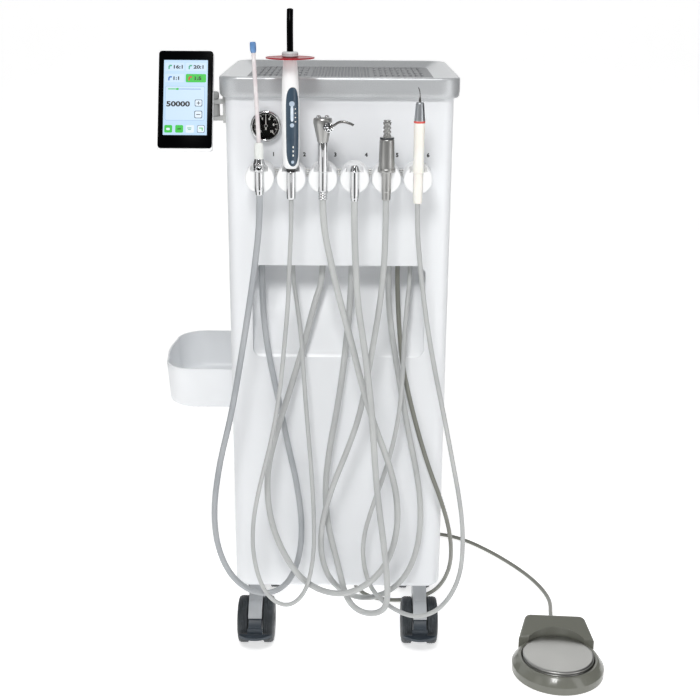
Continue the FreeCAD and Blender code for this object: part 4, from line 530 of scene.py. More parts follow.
def make_finishes():
    """Every finish by its plain name."""
    brushed = {"stretch": (0.03, 1.0, 1.0), "centre": middle("pedal_disc")}
    made = {
        # Sheet steel under gloss powder enamel: near-white, with the faint dimples of a baked coat.
        "enamel": Finish("powder_enamelled_steel", "#ebedef", 0.30)
        .grained(4, 0.012, 0.25).clouded(400, "#e7e9ec", 0.2, 0.8, detail=0),
        # Moulded ABS under satin silver lacquer: fine metal flake, soft broad highlights.
        "silver": Finish(
            "silver_lacquered_abs", "#c8cacc", 0.40, Metallic=0.45, Coat_Weight=0.1, Coat_Roughness=0.3
        ).clouded(0.9, "#bdc0c2", detail=1).grained(0.8, 0.006, 0.3),
        # Thermoplastic rubber mat, fine matt grain.
        "mat": Finish("thermoplastic_rubber_mat", "#8d8f92", 0.62)
        .grained(0.9, 0.03, 0.5).clouded(200, "#898b8e", 0.2, 0.8, detail=0),
        # Injection-moulded ABS, white, spark-eroded fine texture.
        "white": Finish("moulded_white_abs", "#f6f7f7", 0.32)
        .grained(0.9, 0.008).clouded(60, "#f2f3f4", detail=0),
        # Moulded polypropylene cup: slightly waxy and soft in its sheen.
        "cup": Finish("moulded_polypropylene", "#f3f5f7", 0.38)
        .grained(1.2, 0.02, 0.3).clouded(120, "#eaecee"),
        # Nickel and chrome on turned brass, polished: a mirror with faint wiping marks.
        "chrome": Finish("polished_chrome_plate", "#d2d3d4", 0.06, Metallic=1.0)
        .worn(40, 0.05, 0.08, detail=0),
        # Turned and satin-plated nickel: fine rings left by the lathe.
        "satin": Finish("satin_nickel", "#afafad", 0.36, Metallic=1.0)
        .grained(0.35, 0.004, 0.3, **LATHE_RINGS),
        # Turned aluminium under clear anodising: paler and flatter than the nickel, with the same rings.
        "aluminium": Finish("clear_anodised_aluminium", "#c2c6ca", 0.34, Metallic=1.0)
        .grained(0.4, 0.004, 0.3, **LATHE_RINGS),
        # Drawn stainless tube, darkened a little by the autoclave.
        "steel_tube": Finish("drawn_stainless_tube", "#7d7c7a", 0.24, Metallic=1.0)
        .worn(3, 0.2, 0.3).clouded(4, "#6c6b69"),
        # Stainless steel pressing, brushed one way.
        "steel": Finish("brushed_stainless", "#b4b4b1", 0.34, Metallic=1.0)
        .grained(0.6, 0.004, 0.25, **brushed).clouded(60, "#a9a9a6", 0.2, 0.8, detail=1),
        # Zinc-plated steel, for screws and inner sheet.
        "zinc": Finish("zinc_plated_steel", "#b9bcc0", 0.38, Metallic=1.0)
        .worn(9, 0.3, 0.5).clouded(14, "#aab0b6"),
        # Die-cast aluminium, tumbled.
        "cast": Finish("die_cast_aluminium", "#a9abad", 0.5, Metallic=1.0).grained(1.6, 0.05, 0.5),
        # Dark enamel of the air receiver.
        "tank": Finish("dark_enamelled_steel", "#2f3438", 0.35).grained(2.5, 0.03),
        # Glass-fibre board with green solder mask.
        "board": Finish("solder_masked_board", "#1d5a36", 0.4).clouded(3, "#174a2c", 0.48, 0.52, detail=0),
        # Silicone hose, pale warm grey, silky and a little dusty.
        "hose": Finish("grey_silicone_hose", "#bfc1c0", 0.34, Specular_IOR_Level=0.35)
        .grained(1.1, 0.01).clouded(70, "#b2b4b4"),
        # Softer PVC of the suction hose, a cooler grey.
        "suction": Finish("cool_grey_pvc_hose", "#aeb1b4", 0.32, Specular_IOR_Level=0.4)
        .grained(1.1, 0.01).clouded(60, "#a1a5a9"),
        # Polyurethane hose of the foot control, olive grey and glossier.
        "olive": Finish("olive_grey_polyurethane", "#84857d", 0.34)
        .grained(1.2, 0.02, 0.3).clouded(80, "#777870"),
        # Moulded rubber boots.
        "boot": Finish("moulded_grey_rubber", "#868887", 0.62).grained(0.8, 0.03, 0.5),
        # Glass-filled nylon, charcoal.
        "nylon": Finish("charcoal_nylon", "#303437", 0.46).grained(0.8, 0.03, 0.5).worn(12, 0.4, 0.54),
        # Cast polyurethane tread, slightly scuffed.
        "tread": Finish("charcoal_polyurethane_tread", "#2e3337", 0.48)
        .grained(1.4, 0.03, 0.5).clouded(6, "#40464a", 0.5, 0.75),
        # Light-grey moulded body between the wheels of a caster.
        "hood": Finish("moulded_light_grey_abs", "#b1b4b7", 0.40).grained(0.9, 0.015),
        # Slate brake lever.
        "slate": Finish("moulded_slate_nylon", "#363e46", 0.42)
        .grained(0.8, 0.02, 0.5).clouded(9, "#3f4851", 0.5, 0.8),
        # Foot control housing, glossy warm grey ABS.
        "pedal": Finish("warm_grey_abs", "#77786f", 0.24, Coat_Weight=0.3, Coat_Roughness=0.05)
        .grained(2.5, 0.008, 0.25),
        # Sterilisable ivory plastic of the scaler's grip.
        "ivory": Finish(
            "ivory_polyphenylsulphone", "#f8f5ee", 0.34, Subsurface_Weight=0.05, Subsurface_Scale=0.002
        ).grained(0.9, 0.008, 0.3).clouded(35, "#f4f0e8", detail=1),
        # Black glass over the display, and black mouldings.
        "black_glass": Finish("black_backed_glass", "#020203", 0.20, Specular_IOR_Level=0.04)
        .worn(60, 0.18, 0.22, detail=0),
        "black": Finish("moulded_black_nylon", "#121315", 0.36).grained(0.8, 0.02),
        # Grey mouldings of the display's arm and bracket.
        "grey": Finish("moulded_grey_nylon", "#babbba", 0.40).grained(0.9, 0.02),
        # Pale grey collar of the light guide, and the bar behind the holders.
        "pale_grey": Finish("moulded_pale_grey_abs", "#cdcfd0", 0.36).grained(0.9, 0.01),
        # Slate-blue keypad foil, satin polyester, and its pale keys.
        "keypad": Finish("slate_blue_keypad", "#2b3f50", 0.30, Coat_Weight=0.3, Coat_Roughness=0.15)
        .grained(0.7, 0.01, 0.3).clouded(20, "#364a5b"),
        "pale_key": Finish("pale_silicone_key", "#b3c2d2", 0.36).grained(0.6, 0.01, 0.3),
        "lit_key": Finish("clear_key_window", "#dfe9f3", 0.16, Coat_Weight=0.6, Coat_Roughness=0.05)
        .clouded(5, "#c9d8e6"),
        # Deep red glare shield, coloured acrylic.
        "shield": Finish("red_tinted_acrylic", "#a00a1e", 0.30, Specular_IOR_Level=0.08)
        .clouded(20, "#8e0819", detail=0),
        # Soft PVC of the disposable tube, rosy white, and of its blue tip, and the pale silicone grip that it
        # plugs into.
        "tube": Finish("soft_rosy_pvc", "#f2eeee", 0.20, Transmission_Weight=0.15, IOR=1.4)
        .clouded(9, "#e6dcde"),
        "tube_tip": Finish("soft_blue_pvc", "#6c95c6", 0.30).clouded(4, "#5a84b6"),
        "pale_grip": Finish("pale_silicone_grip", "#ebedea", 0.40).grained(0.8, 0.01).clouded(8, "#e2e5e1"),
        # Clear blown bottle.
        "bottle": Finish("clear_blown_pet", "#dfe9ef", 0.12, Transmission_Weight=0.9, IOR=1.57)
        .grained(25, 0.2),
        # Printing inks, the gauge's dial, and the scaler's ring.
        "ink": Finish("printed_black_ink", "#141517", 0.45).clouded(1.5, "#1d1e21"),
        "dial": Finish("printed_black_dial", "#050506", 0.6, Specular_IOR_Level=0.15)
        .grained(0.6, 0.01, 0.3),
        "white_ink": Finish("white_enamel_ink", "#f4f4f0", 0.45).clouded(1.0, "#e8e8e2"),
        "red_ring": Finish("red_silicone_ring", "#dd6058", 0.4).clouded(2, "#d2534c"),
        # The gauge's lens is bloomed, so that it throws back hardly any light.
        "lens": Finish("bloomed_glass_lens", "#ffffff", 0.02, Transmission_Weight=1.0, IOR=1.12),
    }
    made = {name: finish.material for name, finish in made.items()}
    for name, (colour, strength) in LIT_COLOURS.items():
        made["lit_" + name] = lit_pixels(name, colour, strength)
    return made


UNLIT_SHARE = 0.12     # how much of its lit colour the glass shows by itself


def lit_pixels(name, colour, strength):
    """One colour of the backlit display: dark glass that gives off its own light."""
    glow = {"Emission_Color": colour, "Emission_Strength": strength}
    lit = Finish("lit_" + name, colour, 0.25, Specular_IOR_Level=0.1, **glow)
    lit.shader.inputs["Base Color"].default_value = [UNLIT_SHARE * c for c in linear(colour)[:3]] + [1.0]
    return lit.material


# ---------------------------------------------------------------- repeats
def opened_tree(name, **inputs):
    """A new tree with its named inputs, each given by its socket type and first value."""
    tree = bpy.data.node_groups.new(name, "GeometryNodeTree")
    tree.interface.new_socket(name="Geometry", in_out="OUTPUT", socket_type="NodeSocketGeometry")
    for key, (kind, value) in inputs.items():
        key = key.replace("_", " ")
        socket = tree.interface.new_socket(name=key, in_out="INPUT", socket_type="NodeSocket" + kind)
        if value is not None:
            socket.default_value = value
    return tree, add_node(tree, "NodeGroupInput").outputs


def closed_tree(tree, placed_shapes, finish):
    """Ends a tree: a shape on every point, as one mesh with its finish."""
    shapes = add_node(tree, "GeometryNodeInstanceOnPoints", placed_shapes).outputs[0]
    solid = add_node(tree, "GeometryNodeRealizeInstances", {"Geometry": shapes}).outputs[0]
    named = add_node(tree, "GeometryNodeSetMaterial", {"Geometry": solid, "Material": finish}).outputs[0]
    add_node(tree, "NodeGroupOutput", {"Geometry": named})
    return tree


def bars_in_a_ring():
    """Tree: bars set round a circle, such as dial ticks and knurls."""
    tree, given = opened_tree(
        "bars_in_a_ring", Count=("Int", 12), Radius=("Float", 0.01), First_angle=("Float", 0.0),
        Step_angle=("Float", 0.1), Bar_size=("Vector", (0.001, 0.001, 0.001)), Finish=("Material", None),
    )
    index = add_node(tree, "GeometryNodeInputIndex").outputs[0]
    turned = {0: index, 1: given["Step angle"]}
    turned = add_node(tree, "ShaderNodeMath", turned, operation="MULTIPLY").outputs[0]
    angle = {0: given["First angle"], 1: turned}
    angle = add_node(tree, "ShaderNodeMath", angle, operation="ADD").outputs[0]
    ring = {}
    for axis, way in (("X", "COSINE"), ("Y", "SINE")):
        share = add_node(tree, "ShaderNodeMath", {0: angle}, operation=way).outputs[0]
        both = {0: given["Radius"], 1: share}
        ring[axis] = add_node(tree, "ShaderNodeMath", both, operation="MULTIPLY").outputs[0]
    place = add_node(tree, "ShaderNodeCombineXYZ", ring).outputs[0]
    turn = add_node(tree, "ShaderNodeCombineXYZ", {"Z": angle}).outputs[0]
    rotation = add_node(tree, "FunctionNodeEulerToRotation", {"Euler": turn}).outputs[0]
    points = add_node(tree, "GeometryNodePoints", {"Count": given["Count"], "Position": place}).outputs[0]
    bar = add_node(tree, "GeometryNodeMeshCube", {"Size": given["Bar size"]}).outputs[0]
    return closed_tree(tree, {"Points": points, "Instance": bar, "Rotation": rotation}, given["Finish"])


STUD_SIDES = 10
STUD_TAPER = 0.7     # a stud's top radius over its foot's


def studs_on_a_grid():
    """Tree: low round studs on a grid, such as the dots of an anti-slip mat."""
    tree, given = opened_tree(
        "studs_on_a_grid", Columns=("Int", 10), Rows=("Int", 10), Width=("Float", 0.1), Depth=("Float", 0.1),
        Stud_radius=("Float", 0.001), Stud_height=("Float", 0.001), Finish=("Material", None),
    )
    size = {"Size X": given["Width"], "Size Y": given["Depth"]}
    spread = {**size, "Vertices X": given["Columns"], "Vertices Y": given["Rows"]}
    grid = add_node(tree, "GeometryNodeMeshGrid", spread).outputs[0]
    foot = given["Stud radius"]
    top = add_node(tree, "ShaderNodeMath", {0: foot, 1: STUD_TAPER}, operation="MULTIPLY").outputs[0]
    shape = {"Vertices": STUD_SIDES, "Radius Top": top, "Radius Bottom": foot, "Depth": given["Stud height"]}
    stud = add_node(tree, "GeometryNodeMeshCone", shape).outputs[0]
    return closed_tree(tree, {"Points": grid, "Instance": stud}, given["Finish"])


def grown(tree, finish, **values):
    """The plain mesh that a tree makes with this finish and these inputs."""
    thing = put_in_scene("grown", bpy.data.meshes.new("grown"))
    modifier = thing.modifiers.new("grow", "NODES")
    modifier.node_group = tree
    named = {item.name: item.identifier for item in tree.interface.items_tree if item.in_out == "INPUT"}
    for key, value in {"Finish": FINISH[finish], **values}.items():
        modifier[named[key.replace("_", " ")]] = value
    return baked(thing)


TYPE_SHARE = 1.4     # type size over the height of its figures


def lettered(text, height, finish, thickness=0.1, bold=0.0):
    """Plain figures as a thin mesh, centred, in the XY plane; bold is how far their strokes are fattened."""
    curve = bpy.data.curves.new("figures", "FONT")
    curve.body = text
    curve.size = height * TYPE_SHARE * MM
    curve.align_x = "CENTER"
    curve.align_y = "CENTER"
    curve.extrude = thickness / 2 * MM
    curve.offset = bold * MM
    curve.resolution_u = 3
    mesh = baked(put_in_scene("figures", curve))
    mesh.materials.clear()
    return finished_in(mesh, finish)


# ---------------------------------------------------------------- tubes and hoses
TUBE_EDGE = 50     # degrees


def smooth_line(name, points, resolution):
    """An object whose curve leads smoothly past the points, from the first to the last."""
    curve = bpy.data.curves.new(name, "CURVE")
    curve.dimensions = "3D"
    spline = curve.splines.new("NURBS")
    spline.points.add(len(points) - 1)
    for point, at in zip(spline.points, points):
        point.co = (*at, 1)
    spline.order_u = 3
    spline.use_endpoint_u = True
    spline.resolution_u = resolution
    return put_in_scene(name, curve)


def round_tube(line, radius, roundness, finish):
    """The plain mesh of a round tube along a curve's object, which is removed."""
    line.data.bevel_depth = radius
    line.data.bevel_resolution = roundness
    line.data.use_fill_caps = True
    mesh = smoothed(baked(line), TUBE_EDGE)
    mesh.materials.clear()
    return finished_in(mesh, finish)


def make_hose(name):
    """One hose as a round tube along its route; returns the points along its middle."""
    diameter, length, body, finish = HOSES[name]
    line = smooth_line(name, route(name), 10)
    bare = plain_mesh(line)
    points = [v.co.copy() for v in bare.vertices]
    bpy.data.meshes.remove(bare)
    tube = put_in_scene(name + "_tube", round_tube(line, diameter / 2, 5, finish))
    if body:
        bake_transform(tube)
    else:
        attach(tube, "root")
    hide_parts(name)
    return points


BOOT_LENGTH = 12.2     # of the one at the foot control
BOOT_RINGS = 3
BOOT_PITCH = 3.2


def boots(pedal_line):
    """Ringed boots where the hoses leave the recess, and the one at the foot control."""
    made = bmesh.new()
    for name, (diameter, _, body, _) in HOSES.items():
        r = diameter / 2 / MM
        ring = [(r + 1.0, 0), (r + 1.9, 0.4), (r + 1.9, 1.8), (r + 1.2, 2.2)]
        rings = repeated(ring, BOOT_RINGS, 2.0, BOOT_PITCH, 0.25)
        profile = [(0, 0), (r + 0.8, 0), *rings, (r + 2.4, 12.0), (r + 2.4, 13.9), (0, 13.9)]
        lathe(profile, route(name)[-1 if body else 0], steps=32, soft=0.2, made=made)
    end = pedal_line[-1]
    axis = (pedal_line[-3] - end).normalized()
    r = HOSES["pedal_hose"][0] / 2 / MM
    ring = [(r + 2.0, 0), (r + 2.0, 1.6), (r + 1.3, 2.0), (r + 1.3, 2.8)]
    profile = [(0, -1.5), (r + 2.4, -1.5), (r + 2.4, 1.2), (r + 1.6, 1.6)]
    profile += repeated(ring, BOOT_RINGS, 2.2, BOOT_PITCH, -0.3) + [(r + 0.7, BOOT_LENGTH), (0, BOOT_LENGTH)]
    lathe(profile, end - axis * BOOT_LENGTH * MM, axis, steps=32, soft=0.2, made=made)
    add_piece("hose_boots", made, "boot", "root", "grey_rubber", "hose_glands")


def make_hoses():
    lines = {name: make_hose(name) for name in HOSES}
    boots(lines["pedal_hose"])


# ---------------------------------------------------------------- cabinet
HOLDER_NUMBER_Z = 0.7410
NUMBER_HEIGHT = 5.0
NUMBER_BOLD = 0.3
NUMBER_ASIDE = 15 * MM
NUMBER_PROUD = 0.04 * MM
# What the closed cabinet holds keeps its own shapes; each has its finish.
INSIDE = {
    "base_plate": "zinc", "equipment_shelf": "zinc", "compressor": "cast", "air_tank": "tank",
    "water_bottle": "bottle", "control_board": "board", "valve_manifold": "cast",
}


def cabinet():
    softened_node("cabinet_shell", 1.6, "enamel", "white_enamel", segments=3)
    softened_node("rear_panel", 0.5, "enamel", "white_enamel")
    softened_node("panel_screws", 0.2, "zinc", "zinc_steel")
    softened_node("power_inlet", 0.5, "black", "black_plastic")
    softened_node("power_switch", 0.6, "black", "black_plastic")
    softened_node("holder_bar", 0.6, "pale_grey", "satin_metal")
    bar_ribs()
    holder_numbers()


def bar_ribs():
    """Three bright ribs along the front of the bar that carries the holders."""
    low, high = corners("holder_bar")
    length = (high.x - low.x) / MM - 4
    made = bmesh.new()
    for i in range(3):
        at = Vector((low.x + 2 * MM, low.y + 0.3 * MM, high.z - (1.6 + 3.0 * i) * MM))
        lathe([(0, 0), (0.9, 0.4), (0.9, length - 0.4), (0, length)], at, X_AXIS, steps=12, made=made)
    add_piece("holder_bar_ribs", made, "satin", "root", "satin_metal")


def holder_numbers():
    """A plain number over each holder, beside the instrument that hangs in it."""
    meshes = []
    instruments = [name for name, facts in HOSES.items() if facts[2]]
    for i, name in enumerate(instruments):
        place = Vector((axis_of(name).x + NUMBER_ASIDE, FRONT - NUMBER_PROUD, HOLDER_NUMBER_Z))
        figure = lettered(str(i + 1), NUMBER_HEIGHT, "ink", bold=NUMBER_BOLD)
        meshes.append(placed(figure, shift(place) @ FACING_FRONT))
    add_piece("holder_numbers", joined("holder_numbers", meshes), None, "root", "grey_rubber")


def inside():
    for node, finish in INSIDE.items():
        thing = NODES[node]
        if not thing.data.materials:
            thing.data.materials.append(FINISH[finish])
        for slot in thing.material_slots:
            slot.material = FINISH[finish]


# ---------------------------------------------------------------- tray, in millimetres
TRAY_CORNER = 27
TRAY_RIM = 10
TRAY_SLOPE = 18
TRAY_WELL = 9.5
WELL_CORNER = 6
MAT_GAP = 1
MAT_THICK = 1.5
MAT_DOTS = (18, 26)
MAT_RIB_ROWS = 6
MAT_RIBS = 9
MAT_RIB = (3.5, 26, 1.6, 0, 1.5, 0.4)     # as a slab
MAT_RIB_PITCH = 8


def tray():
    low, high = corners("top_tray")
    width, depth, _ = (high - low) / MM
    mid = middle("top_tray")
    foot = (low.z - high.z) / MM

    def ring(inset, up, corner):
        """Its outline that far inside the edge and above the top."""
        size = ((width - 2 * inset) * MM, (depth - 2 * inset) * MM)
        return round_rect(*size, corner * MM, (mid.x, mid.y, high.z + up * MM), 14)

    over = [
        (2.5, foot), (0.8, foot + 2.2), (0, foot + 8), (0, -5), (0, -2.6), (0.5, -1.2), (1.4, -0.35),
        (2.6, 0), (7.6, 0), (9, -0.3), (10.6, -1.1), (25.6, -8.4), (27, -9.1), (28.4, -TRAY_WELL),
        (40, -TRAY_WELL),
    ]
    rings = [ring(inset, up, max(TRAY_CORNER - inset, WELL_CORNER)) for inset, up in over]
    under = [ring(40, -11.4, WELL_CORNER), ring(7.2, -11.4, 18.3), ring(7.2, foot, 18.3)]
    made = loft(rings + under + [rings[0]], caps=(False, False))
    made.faces.new([made.verts.new(p) for p in rings[-1]])
    made.faces.new([made.verts.new(p) for p in reversed(under[0])])
    # Its faces point outwards as they are made, and three of them meet at the edges of the well's floor.
    mesh = finished_mesh(made, "tray_shell", sharp=42, closed=False)
    add_piece("tray_shell", mesh, "silver", "root", "silver_tray", "top_tray")
    mat(Vector((mid.x, mid.y, high.z - TRAY_WELL * MM)), width, depth)


def mat(floor, width, depth):
    """Mat in the well: ribs in rows at its sides, small studs in the middle."""
    w = width - 2 * (TRAY_RIM + TRAY_SLOPE + MAT_GAP)
    d = depth - 2 * (TRAY_RIM + TRAY_SLOPE + MAT_GAP)
    top = floor + Z_AXIS * MAT_THICK * MM
    sheet = slab(w, d, 16, 0, MAT_THICK, 0.4, at=floor)
    studs = grown(
        STUDS, "mat", Columns=MAT_DOTS[0], Rows=MAT_DOTS[1], Width=(w - 175) * MM, Depth=(d - 24) * MM,
        Stud_radius=1.4 * MM, Stud_height=0.8 * MM,
    )
    ribs = bmesh.new()
    pitch = (d - 20) / MAT_RIB_ROWS
    for row in range(MAT_RIB_ROWS):
        y = -d / 2 + 10 + pitch * (row + 0.5)
        for i in range(MAT_RIBS):
            for side in (-1, 1):
                x = side * (w / 2 - 14 - MAT_RIB_PITCH * i)
                slab(*MAT_RIB, at=top + Vector((x, y, 0)) * MM, steps=4, made=ribs)
    parts = [
        finished_in(finished_mesh(sheet, "mat"), "mat"),
        placed(studs, shift(top)),
        finished_in(finished_mesh(ribs, "mat_ribs"), "mat"),
    ]
    add_piece("anti_slip_mat", joined("anti_slip_mat", parts), None, "root", "grey_rubber", "tray_mat")


# ---------------------------------------------------------------- cup
CUP_WALL = 2.6 * MM
CUP_GAP = 0.5 * MM        # between the cup and the cabinet's side
CUP_DRAFT = 4 * MM        # how much it narrows to its foot
CUP_BOW = 4 * MM          # how far its outer side bulges
CUP_CORNER_SHARE = 0.42   # depth of its corners over its own
CUP_STUD_ASIDE = 55 * MM
CUP_STUD_DOWN = 14 * MM


def cup_ring(out, length, near, z, mid_y):
    """D-shaped ring: straight along the wall, bowed on the outside."""
    r = CUP_CORNER_SHARE * (out + CUP_WALL)
    turned = r + CUP_BOW
    far, bowed = near - out, near - out + CUP_BOW
    y0, y1 = mid_y - length / 2, mid_y + length / 2
    shares = [k / 12 for k in range(13)]
    straight = [(near, y1 - length * share) for share in shares]
    bulged = [
        (far + CUP_BOW * (2 * share - 1) ** 2, y0 + turned + (length - 2 * turned) * share)
        for share in shares[1:-1]
    ]
    first = corner_arc((far + r, y0), (far, y0), (bowed, y0 + turned))
    second = corner_arc((bowed, y1 - turned), (far, y1), (far + r, y1))
    return [Vector((x, y, z)) for x, y in straight + first + bulged + second]


def corner_arc(start, corner, end, steps=14):
    """A round corner as a superellipse quarter from start to end."""
    start, corner, end = Vector(start), Vector(corner), Vector(end)
    angles = [math.pi / 2 * k / steps for k in range(steps + 1)]
    return [
        tuple(corner + (start - corner) * (1 - math.sin(angle)) + (end - corner) * (1 - math.cos(angle)))
        for angle in angles
    ]


def cup():
    low, high = corners("side_cup")
    mid_y = middle("side_cup").y
    near = corners("cabinet_shell")[0].x - CUP_GAP
    rim = (high.z - low.z) / MM
    outside = [
        (5.0, 0), (2.6, 0.5), (0.9, 1.9), (0, 4.6), (0, 12), (0, 30), (0, 50), (0, rim - 1.4),
        (0.35, rim - 0.3), (1.3, rim),
    ]
    within = [
        (0.1, rim - 0.3), (0, rim - 1.4), (0, 50), (0, 30), (0, 12), (0, 7.6), (0.9, 4.8), (2.6, 3.2),
        (5.0, 2.6),
    ]
    rings = []
    for wall, outline in ((0, outside), (CUP_WALL, within)):
        for inset, up in outline:
            shrink = CUP_DRAFT * (1 - up / rim) + inset * MM + wall
            out = near - low.x - shrink - wall
            rings.append(cup_ring(out, high.y - low.y - 2 * shrink, near - wall, low.z + up * MM, mid_y))
    add_piece("storage_cup", loft(rings), "cup", "side_cup", "white_plastic", "side_cup", sharp=50)
    studs = bmesh.new()
    for side in (-1, 1):
        at = Vector((near, mid_y + side * CUP_STUD_ASIDE, high.z - CUP_STUD_DOWN))
        lathe([(0, -0.5), (3, -0.5), (3, 4), (6, 4), (6, 6), (0, 6)], at, X_AXIS, steps=24, made=studs)
    add_piece("cup_studs", studs, "cup", "side_cup", "white_plastic")


# ---------------------------------------------------------------- casters
WHEEL_WIDTH = 17 * MM


def casters():
    for place in ("front_left", "front_right", "rear_left", "rear_right"):
        softened_node("caster_hood_" + place, 1.0, "hood", "hood_plastic", segments=3)
        wheels(place)
        if place.startswith("front"):
            softened_node("caster_brake_" + place, 1.4, "slate", "brake_plastic", segments=3)
            brake_slit_shade(place)
    softened_node("caster_mounts", 0.6, "nylon", "charcoal_nylon")


def brake_slit_shade(place):
    """Painted shade: a dark slate slab behind the brake's lever that closes the play on both sides of it, in
    front of the wheels, so those slits read dark.
    """
    node = "caster_brake_" + place
    low = corners(node)[0]
    at = Vector((middle(node).x, low.y + 12.1 * MM, low.z + 3 * MM))
    # painted shade: this slate sheet fills the see-through slits beside the lever
    root = slab(22.8, 1.2, 0.5, 0, 10, 0.4, at=at)
    add_piece("brake_slit_shade_" + place, root, "slate", node, "brake_plastic")


def wheels(place):
    """Two wheels: a grooved tread with a soft shoulder, and a domed cover with a groove and a hub cap."""
    node = "caster_wheels_" + place
    low, high = corners(node)
    inner = (high.x - low.x) / 2 - WHEEL_WIDTH
    r = (high.z - low.z) / 2 / MM
    tread = [
        (r - 10.5, 0.6), (r - 3.0, 0.4), (r - 0.6, 1.6), (r - 0.05, 4.0), (r - 0.7, 4.4), (r - 0.7, 5.0),
        (r, 5.4), (r, 6.6), (r - 0.7, 7.0), (r - 0.7, 7.6), (r, 8.0), (r, 9.2), (r - 0.7, 9.6),
        (r - 0.7, 10.2), (r - 0.1, 10.6), (r - 0.4, 12.0), (r - 1.1, 12.4), (r - 1.1, 12.9),
        (r - 0.9, 13.5), (r - 2.5, 15.2), (r - 4.9, 16.0), (r - 6.3, 15.6), (r - 6.5, 2), (r - 10.5, 2),
        (r - 10.5, 0.6),
    ]
    cover = [
        (4.3, 0.2), (r - 6.5, 0.9), (r - 6.5, 15.2), (r - 7.5, 16.4), (r - 9.7, 16.9), (r - 10.3, 16.4),
        (r - 10.9, 16.9), (17.0, 16.3), (10.6, 15.8), (10.2, 15.2), (9.6, 15.8), (9.0, 16.6), (4.3, 16.9),
        (4.3, 0.2),
    ]
    meshes = []
    for finish, profile, soft in (("tread", tread, 0.2), ("nylon", cover, 0.4)):
        made = bmesh.new()
        for side in (-1, 1):
            face = middle(node) + X_AXIS * side * inner
            lathe(profile, face, X_AXIS * side, steps=96, soft=soft, made=made)
        meshes.append(finished_in(finished_mesh(made, finish), finish))
    name = "wheels_" + place
    add_piece(name, joined(name, meshes), None, node, "wheel_rubber", node)


# ---------------------------------------------------------------- foot control
def foot_control():
    softened_node("pedal_base", 0.8, "pedal", "pedal_plastic", segments=3)
    softened_node("pedal_hood", 2.6, "pedal", "pedal_plastic", segments=4)
    low, high = corners("pedal_disc")
    mid = middle("pedal_disc")
    r = (high.x - low.x) / 2 / MM
    top = (high.z - low.z) / MM
    profile = [
        (0, 0), (8, 0), (8, top - 9), (r - 1.5, top - 9), (r, top - 7.6), (r, top - 5.2),
        (r - 0.7, top - 4.8), (r - 0.7, top - 4.2), (r, top - 3.8), (r, top - 1.8), (r - 0.6, top - 0.9),
        (r - 2.2, top - 0.2), (r - 3.6, top), (20, top - 0.15), (0, top - 0.2),
    ]
    disc = lathe(profile, (mid.x, mid.y, low.z), steps=128, soft=0.5)
    add_piece("pressed_disc", disc, "steel", "pedal_disc", "satin_metal", "pedal_disc")


# ---------------------------------------------------------------- gauge
GAUGE_ZERO = math.radians(225)
GAUGE_SWEEP = math.radians(270)
DIAL_DEPTH = 4.35 * MM      # behind the bezel's front
FIGURE_RADIUS = 9.9 * MM
# Fine and coarse ticks of the dial: how many, their radius, and each one's length, width and thickness.
TICKS = [(51, 14.6, (1.2, 0.3, 0.06)), (11, 13.6, (3.2, 0.8, 0.07))]


def gauge():
    mid = middle("gauge_case")
    face = Vector((mid.x, corners("gauge_case")[0].y, mid.z))
    dial = face + Y_AXIS * DIAL_DEPTH
    profile = [
        (0, -31), (14, -31), (14, -9), (18.6, -9), (20, -7.8), (20, -2.6), (19.4, -1.0), (18.2, -0.1),
        (17.4, -0.1), (16.8, -0.8), (16.5, -4.4), (0, -4.4),
    ]
    case = lathe(profile, face, -Y_AXIS, steps=96, soft=0.5)
    add_piece("gauge_bezel", case, "chrome", "root", "chrome", "gauge_case")
    disc = lathe([(0, 0), (16.4, 0), (16.4, 0.1), (0, 0.1)], dial, -Y_AXIS, steps=64, soft=0.02)
    add_piece("gauge_dial", disc, "dial", "root", "black_plastic")
    add_piece("gauge_marks", gauge_marks(dial), None, "root", "white_plastic")
    softened_node("gauge_pointer", 0.05, "white_ink", "white_plastic")
    profile = [(0, 0), (1.9, 0), (1.7, 0.5), (0.9, 0.9), (0, 1.0)]
    cap = lathe(profile, face + Y_AXIS * 3.1 * MM, -Y_AXIS, steps=32, soft=0.1)
    add_piece("pointer_cap", cap, "black", "gauge_pointer", "black_plastic")
    profile = [(0, 0.5), (8, 0.3), (16.6, -0.6), (16.6, -1.2), (0, -1.2)]
    window = lathe(profile, face + Y_AXIS * 0.7 * MM, -Y_AXIS, steps=64, soft=0.2)
    add_piece("gauge_window", window, "lens", "root", "clear_bottle")


def gauge_marks(dial):
    """Ticks and figures printed on the dial."""
    front = shift(dial - Y_AXIS * 0.16 * MM) @ FACING_FRONT
    marks = []
    for count, radius, size in TICKS:
        ticks = grown(
            RING, "white_ink", Count=count, Radius=radius * MM, First_angle=GAUGE_ZERO,
            Step_angle=-GAUGE_SWEEP / (count - 1), Bar_size=tuple(s * MM for s in size),
        )
        marks.append(placed(ticks, front))
    for i in range(6):
        angle = GAUGE_ZERO - GAUGE_SWEEP * i / 5
        at = Vector((math.cos(angle), math.sin(angle), 0)) * FIGURE_RADIUS
        marks.append(placed(lettered(str(2 * i), 3.0, "white_ink", 0.06, 0.16), front @ shift(at)))
    return joined("gauge_marks", marks)


# ---------------------------------------------------------------- display
SCREEN_LEAN = math.radians(22)
GLASS_W = 69.2
GLASS_H = 126.2
LCD_W = 55.8 * MM
LCD_H = 97.3 * MM
LCD_UP = 2.2 * MM         # the lit area sits a little above the middle of the glass
LAYER = 0.03 * MM         # how far each layer of tiles lies over the one below
TILE_THICK = 0.02 * MM
WIDENED = Matrix.Diagonal((1.25, 0.94, 1.0, 1.0))     # the display's figures are broad
FIGURE_BOLD = 0.055       # how far their strokes are fattened, over their height


